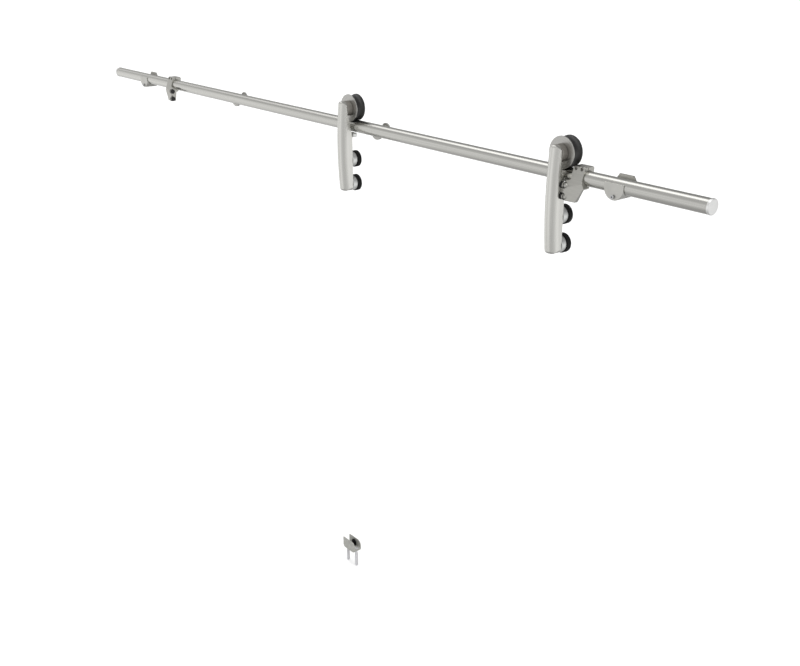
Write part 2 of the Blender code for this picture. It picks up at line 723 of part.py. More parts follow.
def stop_rear_outline():
    """Side view of the rear jaw: a block above the rail and a hook round its back."""
    front = STOP_JAW_BACK_Y + STOP_JAW_GAP
    rear = 0.0136
    corner = 0.0020
    hook = 0.0162
    lowest = -38.0
    over = arc((0.0, 0.0), hook, 33.0, lowest, 8)
    under = arc((0.0, 0.0), CRADLE_RADIUS, lowest, 85.0, 12)
    front_edge = math.sqrt(CRADLE_RADIUS ** 2 - front ** 2)
    return [(front, STOP_TOP), (rear - corner, STOP_TOP), (rear, STOP_TOP - corner)] + over + under + [
        (front, front_edge)]


def stop_head_trims(side, toward, base):
    """The two upright cuts that make the head thin at its far side and deep at the buffers."""
    reach = 0.05
    place_y, turn = STOP_HEAD_FRONT
    front = block("stop_front_trim_" + side, (-reach, -reach, -reach), (reach, 0.0, reach), None, base,
                  (0.0, place_y, 0.0), (0.0, 0.0, math.radians(toward * turn)))
    place_y, turn = STOP_HEAD_REAR
    rear = block("stop_rear_trim_" + side, (-reach, 0.0, -reach), (reach, reach, STOP_HEAD_TOP), None, base,
                 (0.0, place_y, 0.0), (0.0, 0.0, math.radians(toward * turn)))
    return front, rear


def stop_buffers(side, toward, jaw, base):
    """Two steel cups on the side of the head, each with a rubber buffer pressed into it."""
    turn = TO_RIGHT if toward > 0 else TO_LEFT
    face = STOP_CENTRE_TO_FACE
    cup_end = face - BUFFER_THICKNESS - GAP
    pocket_end = cup_end - 0.004
    edge = 0.0010
    spots = {level: (0.0, BUFFER_Y, height) for level, height in BUFFER_Z.items()}
    for level, spot in spots.items():
        cup = rod("stop_cup_" + level + "_" + side, BUFFER_CUP_RADIUS, 0.010, cup_end, None, base, spot, turn,
                  FINE_STEPS)
        cut(jaw, cup, "UNION")
    for level, spot in spots.items():
        name = level + "_" + side
        pocket = rod("stop_pocket_" + name, BUFFER_STEM_RADIUS + GAP, pocket_end, face, None, base, spot, turn,
                     FINE_STEPS)
        cut(jaw, pocket)
        profile = [
            (0.0, face),
            (BUFFER_RADIUS - edge, face),
            (BUFFER_RADIUS, face - edge),
            (BUFFER_RADIUS, cup_end + GAP),
            (BUFFER_STEM_RADIUS, cup_end + GAP),
            (BUFFER_STEM_RADIUS, pocket_end + GAP),
            (0.0, pocket_end + GAP),
        ]
        turned("stop_buffer_" + name, profile, RUBBER, base, spot, turn, FINE_STEPS)


def end_stop(side, axis):
    toward = -1.0 if side == "right" else 1.0
    right_face = TROLLEY_X["right"] + BAR_HALF_WIDTH + 0.0005
    face = right_face if side == "right" else LEFT_BUFFER_FACE_X
    base = new_empty("end_stop_" + side, axis, (face - toward * STOP_CENTRE_TO_FACE, 0.0, 0.0))
    reach = 0.05

    jaw = plate("stop_front_jaw_" + side, stop_front_outline(toward), -0.0275, STOP_JAW_BACK_Y, STEEL, base)
    shape = plate("stop_profile_" + side, stop_side_outline(), -reach, reach, None, base, plane="YZ")
    cut(jaw, shape, "INTERSECT")
    for trim in stop_head_trims(side, toward, base):
        cut(jaw, trim)
    stop_buffers(side, toward, jaw, base)
    cut(jaw, rail_cutter("stop_channel_" + side, base))

    rear = plate("stop_rear_jaw_" + side, stop_rear_outline(), -STOP_HALF_WIDTH, STOP_HALF_WIDTH, STEEL, base,
                 plane="YZ")

    for label, offset in (("inner", toward * STOP_SCREW_PITCH / 2), ("outer", -toward * STOP_SCREW_PITCH / 2)):
        spot = (offset, 0.0, STOP_SCREW_Z)
        name = label + "_" + side
        seat = STOP_SCREW_SEAT_Y
        sink = rod("stop_sink_" + name, 0.0028, -0.03, seat, None, base, spot, TO_WALL, FINE_STEPS)
        bore = rod("stop_bore_" + name, M3 + GAP, -0.02, seat - GAP + STOP_SCREW_LENGTH + GAP, None, base, spot,
                   TO_WALL, FINE_STEPS)
        cut(jaw, sink)
        cut(jaw, bore)
        cut(rear, bore)
        screw_with_socket("stop_screw_" + name, 0.0025, 0.0020, M3, STOP_SCREW_LENGTH, ZINC, base,
                          (offset, seat - GAP, STOP_SCREW_Z), (math.pi / 2, 0.0, 0.0))


# ---------------------------------------------------------------- floor guide

def guide_side_outline():
    """Front view of the guide: square on the left, rounded on the right."""
    half = GUIDE_HALF_LENGTH
    low, high = GUIDE_Z
    lower = arc((half - GUIDE_LOW_CORNER, low + GUIDE_LOW_CORNER), GUIDE_LOW_CORNER, -90.0, 0.0, 5)
    upper = arc((half - GUIDE_TOP_CORNER, high - GUIDE_TOP_CORNER), GUIDE_TOP_CORNER, 0.0, 90.0, 6)
    return [(-half + 0.003, low), *lower, *upper, (-half, high), (-half, low + 0.006)]


def floor_guide(axis):
    base = new_empty("floor_guide", axis, (GUIDE_X, 0.0, 0.0))
    body = plate("guide_body", guide_side_outline(), GUIDE_Y[0], GUIDE_Y[1], STEEL, base)
    wide = 0.05
    slot = block("guide_slot", (-wide, GUIDE_SLOT_Y[0], GUIDE_FLOOR_Z), (wide, GUIDE_SLOT_Y[1], -1.0), None, base)
    cut(body, slot)

    liner = block("guide_liner", (-LINER_HALF_LENGTH, GUIDE_SLOT_Y[0] + GAP, GUIDE_FLOOR_Z + GAP),
                  (LINER_HALF_LENGTH, GUIDE_SLOT_Y[1] - GAP, LINER_TOP), POLYMER, base)
    inside = block("guide_liner_slot",
                   (-wide, GUIDE_SLOT_Y[0] + GAP + LINER_WALL, GUIDE_FLOOR_Z + GAP + LINER_WALL),
                   (wide, GUIDE_SLOT_Y[1] - GAP - LINER_WALL, -1.0), None, base)
    cut(liner, inside)

    middle = (GUIDE_SLOT_Y[0] + GUIDE_SLOT_Y[1]) / 2.0
    head = 0.0050
    cone = 0.0027
    for side, sign in (("left", -1.0), ("right", 1.0)):
        spot = (sign * GUIDE_SCREW_PITCH / 2.0, middle, 0.0)
        drill = rod("guide_drill_" + side, M6 + GAP, GUIDE_Z[0] - 0.01, -1.0, None, base, spot, UPRIGHT, FINE_STEPS)
        cut(body, drill)
        sink_profile = [
            (0.0, GUIDE_FLOOR_Z + 0.001),
            (head + 0.0014, GUIDE_FLOOR_Z + 0.001),
            (head + 0.0004, GUIDE_FLOOR_Z),
            (M6 + GAP, GUIDE_FLOOR_Z - cone),
            (0.0, GUIDE_FLOOR_Z - cone),
        ]
        sink = turned("guide_sink_" + side, sink_profile, None, base, spot, UPRIGHT, FINE_STEPS)
        cut(body, sink)
        top = GUIDE_FLOOR_Z - 0.0002
        screw = [
            (0.0, top),
            (head, top),
            (M6, top - cone),
            (M6, GUIDE_SCREW_END_Z + 0.001),
            (M6 - 0.001, GUIDE_SCREW_END_Z),
            (0.0, GUIDE_SCREW_END_Z),
        ]
        made = turned("guide_screw_" + side, screw, ZINC, base, spot, UPRIGHT, FINE_STEPS)
        cut(made, hex_pit("guide_socket_" + side, 0.0023, top - 0.002, top + 0.002, base, spot))


# ---------------------------------------------------------------- the whole set

clear_scene()
PARTS = new_collection("sliding_door_hardware")
CUTTERS = new_collection("cutters")
rail_axis = new_empty("rail_axis", None, (-END_BRACKET_X["right"], -WALL_Y, MOUNT_DROP))
rail(rail_axis)
for hand in ("right", "left"):
    end_bracket(hand, rail_axis)
    mid_bracket(hand, rail_axis)
    trolley(hand, rail_axis)
    end_stop(hand, rail_axis)
floor_guide(rail_axis)
bpy.context.view_layer.update()
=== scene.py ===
"""Looks of the sliding door hardware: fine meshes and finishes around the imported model, in metres."""
import math

import bmesh
import bpy
from mathutils import Euler, Matrix, Vector


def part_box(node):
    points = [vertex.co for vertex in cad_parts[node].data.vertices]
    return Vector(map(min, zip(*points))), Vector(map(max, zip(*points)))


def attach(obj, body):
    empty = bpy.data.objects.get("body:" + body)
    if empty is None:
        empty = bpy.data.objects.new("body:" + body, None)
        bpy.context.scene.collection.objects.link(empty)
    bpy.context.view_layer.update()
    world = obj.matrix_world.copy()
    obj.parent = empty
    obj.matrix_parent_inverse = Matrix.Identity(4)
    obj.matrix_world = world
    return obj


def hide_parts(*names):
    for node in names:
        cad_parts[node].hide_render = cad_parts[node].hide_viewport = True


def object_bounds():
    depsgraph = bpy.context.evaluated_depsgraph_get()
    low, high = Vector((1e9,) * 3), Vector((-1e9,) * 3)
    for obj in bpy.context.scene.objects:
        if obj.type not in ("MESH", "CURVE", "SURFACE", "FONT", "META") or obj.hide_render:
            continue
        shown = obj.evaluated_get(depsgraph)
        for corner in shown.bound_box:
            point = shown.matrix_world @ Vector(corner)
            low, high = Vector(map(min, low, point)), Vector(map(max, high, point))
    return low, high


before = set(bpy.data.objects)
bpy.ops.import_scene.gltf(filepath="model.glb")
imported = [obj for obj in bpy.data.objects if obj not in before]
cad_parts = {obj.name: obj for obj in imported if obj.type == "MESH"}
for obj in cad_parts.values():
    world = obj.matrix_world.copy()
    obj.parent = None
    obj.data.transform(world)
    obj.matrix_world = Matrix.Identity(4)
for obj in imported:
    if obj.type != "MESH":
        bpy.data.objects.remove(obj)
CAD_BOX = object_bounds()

# directions of a turned shape's own axis
TO_WALL = (-math.pi / 2, 0.0, 0.0)
TO_ROOM = (math.pi / 2, 0.0, 0.0)
TO_RIGHT = (0.0, math.pi / 2, 0.0)
TO_LEFT = (0.0, -math.pi / 2, 0.0)
UPRIGHT = (0.0, 0.0, 0.0)

SIDES = ("right", "left")
LEVELS = ("upper", "lower")
GAP = 0.0003                      # clearance between pieces
STEPS = 96
FINE_STEPS = 48
SMOOTH_BELOW = math.radians(32)
FLAT_SIDED = math.radians(10)     # the same for pieces with flat faces and small roundings
SAME_POINT = 0.00001              # drawn points nearer than this are one
WELD = 0.000004                   # points of a finished piece nearer than this are one
SLIVER = 0.000002                 # edges shorter than this are removed

# the driving axes, from the frame
RAIL_LOW, RAIL_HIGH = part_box("rail_tube")
RAIL_RADIUS = (RAIL_HIGH.z - RAIL_LOW.z) / 2.0
RAIL_Y = (RAIL_HIGH.y + RAIL_LOW.y) / 2.0
RAIL_Z = (RAIL_HIGH.z + RAIL_LOW.z) / 2.0
RAIL_WALL = 0.002
CRADLE_RADIUS = RAIL_RADIUS + GAP

# the blind hole in each bracket's wall face, for an anchor stud
ANCHOR_RADIUS = 0.0034
ANCHOR_DEPTH = 0.011
PAST_WALL = 0.01

# shank radii
M3 = 0.0015
M4 = 0.0020
M6 = 0.0030
M8 = 0.0040


def middle(node):
    """The centre of a CAD node's box."""
    low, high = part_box(node)
    return (low + high) / 2.0


def on_rail(x, y=0.0, z=0.0):
    """A point measured from the rail's axis at a place along it."""
    return Vector((x, RAIL_Y + y, RAIL_Z + z))


# ---------------------------------------------------------------- mesh tools

def settled(draft, name):
    """The mesh that an object and its modifiers make; the object is removed."""
    if not draft.users_collection:
        bpy.context.scene.collection.objects.link(draft)
    bpy.context.view_layer.update()
    data = bpy.data.meshes.new_from_object(draft.evaluated_get(bpy.context.evaluated_depsgraph_get()))
    data.name = name
    bpy.data.objects.remove(draft, do_unlink=True)
    return data


def shown(name, data):
    made = bpy.data.objects.new(name, data)
    bpy.context.scene.collection.objects.link(made)
    return made


def applied(made):
    """An object with its modifiers applied, under its own name."""
    name = made.name
    return shown(name, settled(made, name))


def put(data, centre, turn=UPRIGHT):
    data.transform(Matrix.Translation(Vector(centre)) @ Euler(turn).to_matrix().to_4x4())
    return data


def rounded(made, width, segments=3):
    """Rounds the sharp edges of an object for good."""
    shape = bmesh.new()
    shape.from_mesh(made.data)
    bmesh.ops.remove_doubles(shape, verts=shape.verts, dist=SAME_POINT)
    bmesh.ops.dissolve_limit(shape, angle_limit=0.01, verts=shape.verts, edges=shape.edges)
    shape.to_mesh(made.data)
    shape.free()
    bevel = made.modifiers.new("Edges", "BEVEL")
    bevel.width = width
    bevel.segments = segments
    bevel.limit_method = "ANGLE"
    bevel.angle_limit = math.radians(35.0)
    return applied(made)


def cut(body, tool, operation="DIFFERENCE"):
    """Cuts or joins for good, and removes the tool."""
    step = body.modifiers.new("Cut", "BOOLEAN")
    step.operation = operation
    step.solver = "EXACT"
    step.object = tool
    made = applied(body)
    bpy.data.objects.remove(tool, do_unlink=True)
    return made


def turned(name, profile, centre, turn, closed=False, steps=STEPS, edge=0.0003):
    """A solid of revolution from (radius, height) points that run down its outer side."""
    line = bpy.data.meshes.new(name)
    edges = [(i, i + 1) for i in range(len(profile) - 1)]
    if closed:
        edges.append((len(profile) - 1, 0))
    line.from_pydata([(radius, 0.0, height) for radius, height in profile], edges, [])
    draft = bpy.data.objects.new(name + "_draft", line)
    screw = draft.modifiers.new("Turn", "SCREW")
    screw.axis = "Z"
    screw.steps = steps
    screw.render_steps = steps
    screw.use_merge_vertices = True
    screw.merge_threshold = SAME_POINT
    if edge > 0.0:
        bevel = draft.modifiers.new("Edges", "BEVEL")
        bevel.width = edge
        bevel.segments = 3
        bevel.limit_method = "ANGLE"
        bevel.angle_limit = math.radians(40.0)
    return shown(name, put(settled(draft, name), centre, turn))


def rod(name, radius, low, high, centre, turn, steps=FINE_STEPS):
    """A plain round bar, used to cut with or to join on."""
    profile = [(0.0, high), (radius, high), (radius, low), (0.0, low)]
    return turned(name, profile, centre, turn, steps=steps, edge=0.0)


def block(name, low, high, centre=(0.0, 0.0, 0.0), turn=UPRIGHT):
    low = Vector(low)
    high = Vector(high)
    shape = bmesh.new()
    bmesh.ops.create_cube(shape, size=1.0)
    bmesh.ops.scale(shape, vec=high - low, verts=shape.verts)
    bmesh.ops.translate(shape, vec=(high + low) / 2.0, verts=shape.verts)
    data = bpy.data.meshes.new(name)
    shape.to_mesh(data)
    shape.free()
    return shown(name, put(data, centre, turn))


def plate(name, outline, low, high, centre, plane="XZ"):
    """A flat outline with thickness: drawn in XZ and pushed along Y, or drawn in YZ and pushed along X."""
    curve = bpy.data.curves.new(name, "CURVE")
    curve.dimensions = "2D"
    curve.fill_mode = "BOTH"
    curve.extrude = (high - low) / 2.0
    spline = curve.splines.new("POLY")
    spline.points.add(len(outline) - 1)
    for point, (across, up) in zip(spline.points, outline):
        point.co = (across, up, 0.0, 1.0)
    spline.use_cyclic_u = True
    data = settled(bpy.data.objects.new(name + "_draft", curve), name)
    depth = (low + high) / 2.0
    if plane == "XZ":
        turn = Matrix(((1, 0, 0, 0), (0, 0, -1, depth), (0, 1, 0, 0), (0, 0, 0, 1)))
    else:
        turn = Matrix(((0, 0, 1, depth), (1, 0, 0, 0), (0, 1, 0, 0), (0, 0, 0, 1)))
    shape = bmesh.new()
    shape.from_mesh(data)
    bmesh.ops.remove_doubles(shape, verts=shape.verts, dist=SAME_POINT)
    bmesh.ops.transform(shape, matrix=Matrix.Translation(Vector(centre)) @ turn, verts=shape.verts)
    bmesh.ops.dissolve_limit(shape, angle_limit=0.001, verts=shape.verts, edges=shape.edges)
    bmesh.ops.recalc_face_normals(shape, faces=shape.faces)
    shape.to_mesh(data)
    shape.free()
    return shown(name, data)


def arc(centre, radius, start, end, count):
    """Points on a circle from one angle to another, in degrees."""
    angles = [math.radians(start + (end - start) * i / count) for i in range(count + 1)]
    return [(centre[0] + radius * math.cos(a), centre[1] + radius * math.sin(a)) for a in angles]


def cap_screw(name, head_radius, head, shank_radius, shank, centre, turn):
    """A cap screw with a hexagon socket; its head stands on its centre."""
    profile = [
        (0.0, head),
        (head_radius, head),
        (head_radius, 0.0),
        (shank_radius, 0.0),
        (shank_radius, -shank),
        (0.0, -shank),
    ]
    made = turned(name, profile, centre, turn, steps=FINE_STEPS, edge=0.00035)
    socket = rod(name + "_socket", head_radius * 0.5, head * 0.3, head * 2.0, centre, turn, steps=6)
    return cut(made, socket)


# ---------------------------------------------------------------- finishes

def node_material(name, colour, metallic, roughness):
    made = bpy.data.materials.new(name)
    made.use_nodes = True
    shader = made.node_tree.nodes["Principled BSDF"]
    shader.inputs["Base Color"].default_value = (*colour, 1.0)
    shader.inputs["Metallic"].default_value = metallic
    shader.inputs["Roughness"].default_value = roughness
    return made, made.node_tree, shader


def noise(tree, vector, scale, detail=3.0):
    made = tree.nodes.new("ShaderNodeTexNoise")
    made.inputs["Scale"].default_value = scale
    made.inputs["Detail"].default_value = detail
    tree.links.new(vector, made.inputs["Vector"])
    return made.outputs["Fac"]


def stretched(tree, scales):
    """Object coordinates, scaled along each axis."""
    place = tree.nodes.new("ShaderNodeTexCoord")
    scale = tree.nodes.new("ShaderNodeMapping")
    scale.inputs["Scale"].default_value = scales
    tree.links.new(place.outputs["Object"], scale.inputs["Vector"])
    return scale.outputs["Vector"]


def between(tree, value, low, high, inside=(0.3, 0.7)):
    """Maps a value from one range to another."""
    made = tree.nodes.new("ShaderNodeMapRange")
    made.inputs["From Min"].default_value = inside[0]
    made.inputs["From Max"].default_value = inside[1]
    made.inputs["To Min"].default_value = low
    made.inputs["To Max"].default_value = high
    tree.links.new(value, made.inputs["Value"])
    return made.outputs["Result"]


def tint(tree, value, dark, light, shader):
    """Colours the surface between two shades."""
    ramp = tree.nodes.new("ShaderNodeValToRGB")
    ramp.color_ramp.elements[0].position = 0.3
    ramp.color_ramp.elements[1].position = 0.7
    ramp.color_ramp.elements[0].color = (*dark, 1.0)
    ramp.color_ramp.elements[1].color = (*light, 1.0)
    tree.links.new(value, ramp.inputs["Fac"])
    tree.links.new(ramp.outputs["Color"], shader.inputs["Base Color"])


def raised(tree, value, depth, shader, strength):
    bump = tree.nodes.new("ShaderNodeBump")
    bump.inputs["Strength"].default_value = strength
    bump.inputs["Distance"].default_value = depth
    tree.links.new(value, bump.inputs["Height"])
    tree.links.new(bump.outputs["Normal"], shader.inputs["Normal"])


def shades(colour, spread):
    """A colour's darker and lighter neighbours."""
    return [c * (1.0 - spread) for c in colour], [min(c * (1.0 + spread), 1.0) for c in colour]


def brushed_metal(name, colour, roughness, along, spread=0.06):
    """Stainless steel brushed along one axis."""
    made, tree, shader = node_material(name, colour, 1.0, roughness)
    scales = [900.0, 900.0, 900.0]
    scales["XYZ".index(along)] = 4.0
    lines = noise(tree, stretched(tree, scales), 1.0, 5.0)
    cloud = noise(tree, stretched(tree, (14.0, 14.0, 14.0)), 1.0, 2.0)
    dark, light = shades(colour, spread)
    tint(tree, lines, dark, light, shader)
    mixed = tree.nodes.new("ShaderNodeMath")
    mixed.operation = "MULTIPLY_ADD"
    mixed.inputs[1].default_value = 0.5
    tree.links.new(cloud, mixed.inputs[0])
    half = tree.nodes.new("ShaderNodeMath")
    half.operation = "MULTIPLY"
    half.inputs[1].default_value = 0.5
    tree.links.new(lines, half.inputs[0])
    tree.links.new(half.outputs["Value"], mixed.inputs[2])
    uneven = between(tree, mixed.outputs["Value"], roughness * 0.9, roughness * 1.1)
    tree.links.new(uneven, shader.inputs["Roughness"])
    raised(tree, lines, 0.00001, shader, 0.08)
    return made


def satin_metal(name, colour, roughness, grain=2600.0, depth=0.00002, spread=0.05, patch=60.0,
                metallic=1.0):
    """Steel with an even, blasted grain."""
    made, tree, shader = node_material(name, colour, metallic, roughness)
    place = stretched(tree, (1.0, 1.0, 1.0))
    fine = noise(tree, place, grain, 3.0)
    cloud = noise(tree, place, patch, 3.0)
    dark, light = shades(colour, spread)
    tint(tree, cloud, dark, light, shader)
    tree.links.new(between(tree, fine, roughness * 0.85, roughness * 1.15), shader.inputs["Roughness"])
    raised(tree, fine, depth, shader, 0.4)
    return made


def lathed_metal(name, colour, roughness, centre):
    """Steel turned on a lathe, with fine rings about an axis along Y."""
    made, tree, shader = node_material(name, colour, 1.0, roughness)
    place = tree.nodes.new("ShaderNodeTexCoord")
    shift = tree.nodes.new("ShaderNodeVectorMath")
    shift.operation = "SUBTRACT"
    shift.inputs[1].default_value = centre
    flat = tree.nodes.new("ShaderNodeVectorMath")
    flat.operation = "MULTIPLY"
    flat.inputs[1].default_value = (1.0, 0.0, 1.0)
    reach = tree.nodes.new("ShaderNodeVectorMath")
    reach.operation = "LENGTH"
    tree.links.new(place.outputs["Object"], shift.inputs[0])
    tree.links.new(shift.outputs["Vector"], flat.inputs[0])
    tree.links.new(flat.outputs["Vector"], reach.inputs[0])
    rings = tree.nodes.new("ShaderNodeTexNoise")
    rings.noise_dimensions = "1D"
    rings.inputs["Scale"].default_value = 2600.0
    rings.inputs["Detail"].default_value = 3.0
    tree.links.new(reach.outputs["Value"], rings.inputs["W"])
    dark, light = shades(colour, 0.07)
    tint(tree, rings.outputs["Fac"], dark, light, shader)
    uneven = between(tree, rings.outputs["Fac"], roughness * 0.8, roughness * 1.2)
    tree.links.new(uneven, shader.inputs["Roughness"])
    raised(tree, rings.outputs["Fac"], 0.00002, shader, 0.4)
    return made


def dark_polymer(name, colour, roughness, grain, depth, shine=0.5):
    """Black moulded plastic or rubber with a fine skin."""
    made, tree, shader = node_material(name, colour, 0.0, roughness)
    shader.inputs["Specular IOR Level"].default_value = shine
    place = stretched(tree, (1.0, 1.0, 1.0))
    fine = noise(tree, place, grain, 4.0)
    cloud = noise(tree, place, 90.0, 3.0)
    dark, light = shades(colour, 0.3)
    tint(tree, cloud, dark, light, shader)
    tree.links.new(between(tree, fine, roughness * 0.88, roughness * 1.12), shader.inputs["Roughness"])
    raised(tree, fine, depth, shader, 0.5)
    return made


RAIL_FINISH = brushed_metal("rail_brushed", (0.60, 0.595, 0.565), 0.22, "X")
BAR_FINISH = brushed_metal("bar_brushed", (0.66, 0.655, 0.625), 0.27, "Z", spread=0.03)
CAP_FINISH = satin_metal("cap_satin", (0.88, 0.88, 0.87), 0.42)
BRACKET_FINISH = satin_metal("bracket_satin", (0.56, 0.555, 0.525), 0.34)
# a darker copy of the bracket steel: painted shade for the wall blocks and round brackets that sit behind
# the rail
BEHIND_RAIL_SHADED_FINISH = satin_metal("bracket_satin_painted_shade", (0.50, 0.495, 0.47), 0.36)
STOP_FINISH = brushed_metal("stop_brushed", (0.46, 0.455, 0.425), 0.34, "X")
SPACER_FINISH = satin_metal("spacer_satin", (0.78, 0.79, 0.775), 0.42)
# the hub's steel is painted much darker than the spacers' steel: painted shade for the hub's place between
# the bar and the wheel's disc
HUB_PAINTED_SHADE_FINISH = satin_metal("hub_satin_painted_shade", (0.33, 0.315, 0.29), 0.46)
BEARING_FINISH = satin_metal("bearing_ground", (0.70, 0.70, 0.70), 0.14, grain=4000.0, depth=0.000005)
SCREW_FINISH = satin_metal("screw_zinc", (0.58, 0.58, 0.585), 0.40)
FLOOR_SCREW_FINISH = satin_metal("screw_galvanised", (0.84, 0.84, 0.855), 0.60)
STOP_SCREW_FINISH = satin_metal("screw_dark", (0.36, 0.35, 0.335), 0.42)
GUIDE_FINISH = satin_metal("guide_blasted", (0.50, 0.50, 0.465), 0.55, grain=1500.0, depth=0.00008,
                           spread=0.18, patch=320.0, metallic=0.35)
TYRE_FINISH = dark_polymer("wheel_polymer", (0.015, 0.015, 0.015), 0.40, 3000.0, 0.00002)
BUFFER_FINISH = dark_polymer("buffer_rubber", (0.022, 0.022, 0.022), 0.60, 2200.0, 0.00004, 0.4)
RUBBER_FINISH = dark_polymer("fixing_rubber", (0.004, 0.004, 0.004), 0.66, 2200.0, 0.00004, 0.3)
LINER_FINISH = dark_polymer("liner_polymer", (0.004, 0.004, 0.004), 0.60, 2500.0, 0.00003, 0.3)


def keep(piece, body, slot, finish, *nodes, smooth_below=SMOOTH_BELOW):
    """Welds a finished piece, gives it its shading and material, and ties it to its body.

    The nodes are those of the CAD that the piece stands for.
    """
    shape = bmesh.new()
    shape.from_mesh(piece.data)
    bmesh.ops.remove_doubles(shape, verts=shape.verts, dist=WELD)
    bmesh.ops.dissolve_degenerate(shape, edges=shape.edges, dist=SLIVER)
    bmesh.ops.recalc_face_normals(shape, faces=shape.faces)
    shape.to_mesh(piece.data)
    shape.free()
    piece.data.shade_smooth()
    piece.data.set_sharp_from_angle(angle=smooth_below)
    even = piece.modifiers.new("Even", "WEIGHTED_NORMAL")
    even.keep_sharp = True
    piece = applied(piece)
    piece.data.materials.clear()
    piece.data.materials.append(finish)
    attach(piece, body)
    if nodes:
        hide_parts(*nodes)
    return piece


# ---------------------------------------------------------------- rail

def rail():
    half = (RAIL_HIGH.x - RAIL_LOW.x) / 2.0
    inner = RAIL_RADIUS - RAIL_WALL
    profile = [(RAIL_RADIUS, half), (RAIL_RADIUS, -half), (inner, -half), (inner, half)]
    tube = turned("rail", profile, middle("rail_tube"), TO_RIGHT, closed=True, steps=128, edge=0.0004)
    keep(tube, "rail_set", "rail_steel", RAIL_FINISH, "rail_tube")
    flange = 0.0045
    plug = 0.014
    edge = 0.0015
    for side, turn in (("right", TO_RIGHT), ("left", TO_LEFT)):
        node = "rail_cap_" + side
        low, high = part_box(node)
        radius = (high.z - low.z) / 2.0
        end = high.x - flange if side == "right" else low.x + flange
        rim = arc((radius - edge, flange - edge), edge, 90.0, 0.0, 6)
        profile = [(0.0, flange)] + rim + [
            (radius, 0.0),
            (inner - GAP, 0.0),
            (inner - GAP, -plug),
            (0.0, -plug),
        ]
        cap = turned("rail_end_cap_" + side, profile, on_rail(end), turn)
        keep(cap, "rail_set", "cap_steel", CAP_FINISH, node)


# ---------------------------------------------------------------- wall brackets

def rail_channel(x):
    """The space that the rail needs through a clamp or cradle."""
    return rod("channel", CRADLE_RADIUS, -0.06, 0.06, on_rail(x), TO_RIGHT, steps=STEPS)


def bracket_outline(half):
    """Front view of an end bracket: chamfered shoulders above, a half round below."""
    arc_z = -0.0022
    top = 0.0154
    top_half = 0.014
    shoulder = 0.0072
    lower = arc((0.0, arc_z), half, 180.0, 360.0, 40)
    return lower + [(half, shoulder), (top_half, top), (-top_half, top), (-half, shoulder)]


def end_bracket(side):
    """A wall block behind the rail, a clamping saddle in front and the screw that joins them."""
    low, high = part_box("end_bracket_block_" + side)
    half = (high.x - low.x) / 2.0
    x = (high.x + low.x) / 2.0
    centre = on_rail(x)
    wall = high.y - RAIL_Y
    split = 0.003
    back = 0.0165
    rear = 0.0190
    cradle_top = 0.002
    lip = 0.0055
    saddle_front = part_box("end_bracket_saddle_" + side)[0].y - RAIL_Y
    screw_z = middle("end_bracket_screw_" + side).z - RAIL_Z
    foot_radius = 0.009
    foot_z = -0.004
    bore_end = 0.0145
    wide = 0.05

    body = plate("wall_block_" + side, bracket_outline(half), split + GAP, rear, centre)
    body = rounded(body, 0.0006)
    foot = rod("foot", foot_radius, rear - 0.001, wall, on_rail(x, 0.0, foot_z), TO_WALL)
    body = cut(body, foot, "UNION")
    anchor = on_rail(x, 0.0, foot_z)
    hole = rod("hole", ANCHOR_RADIUS, wall - ANCHOR_DEPTH, wall + PAST_WALL, anchor, TO_WALL)
    above = block("above", (-wide, -wide, cradle_top), (wide, back, wide), centre)
    thread = rod("thread", M4 + GAP, -0.02, bore_end, on_rail(x, 0.0, screw_z), TO_WALL)
    for tool in (rail_channel(x), above, hole, thread):
        body = cut(body, tool)
    keep(body, "rail_set", "bracket_steel", BEHIND_RAIL_SHADED_FINISH, "end_bracket_block_" + side)

    saddle = plate("clamp_saddle_" + side, bracket_outline(half), saddle_front, split, centre)
    saddle = cut(saddle, block("lid", (-wide, -wide, lip), (wide, wide, wide), centre))
    saddle = rounded(saddle, 0.0008)
    thread = rod("thread", M4 + GAP, -0.02, bore_end, on_rail(x, 0.0, screw_z), TO_WALL)
    for tool in (rail_channel(x), thread):
        saddle = cut(saddle, tool)
    keep(saddle, "rail_set", "bracket_steel", BRACKET_FINISH, "end_bracket_saddle_" + side)

    seat = on_rail(x, saddle_front - GAP, screw_z)
    screw = cap_screw("saddle_screw_" + side, 0.0034, 0.003, M4, 0.028, seat, TO_ROOM)
    keep(screw, "rail_set", "screw_steel", SCREW_FINISH, "end_bracket_screw_" + side)


def mid_bracket(side):
    """A round wall flange with a cradle that holds the rail from behind and below."""
    node = "mid_bracket_" + side
    low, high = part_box(node)
    x = (low.x + high.x) / 2.0
    wall = high.y - RAIL_Y
    post_z = -0.001
    flange_radius = 0.0135
    flange_front = 0.0225
    neck_radius = 0.008
    neck_front = 0.016
    body_radius = 0.014
    lip_radius = 0.0175
    lip_front = -0.002
    lip_rear = 0.003
    cradle_top = -0.0005
    wide = 0.04
    profile = [
        (0.0, wall),
        (flange_radius, wall),
        (flange_radius, flange_front),
        (neck_radius, flange_front),
        (neck_radius, neck_front),
        (body_radius, neck_front),
        (body_radius, lip_rear),
        (lip_radius, lip_rear),
        (lip_radius, lip_front),
        (0.0, lip_front),
    ]
    centre = on_rail(x, 0.0, post_z)
    body = turned("middle_bracket_" + side, profile, centre, TO_WALL, edge=0.0005)
    above = block("above", (-wide, -wide, cradle_top), (wide, neck_front, wide), on_rail(x))
    hole = rod("hole", ANCHOR_RADIUS, wall - ANCHOR_DEPTH, wall + PAST_WALL, centre, TO_WALL)
    for tool in (rail_channel(x), above, hole):
        body = cut(body, tool)
    keep(body, "rail_set", "bracket_steel", BEHIND_RAIL_SHADED_FINISH, node)


# ---------------------------------------------------------------- trolley

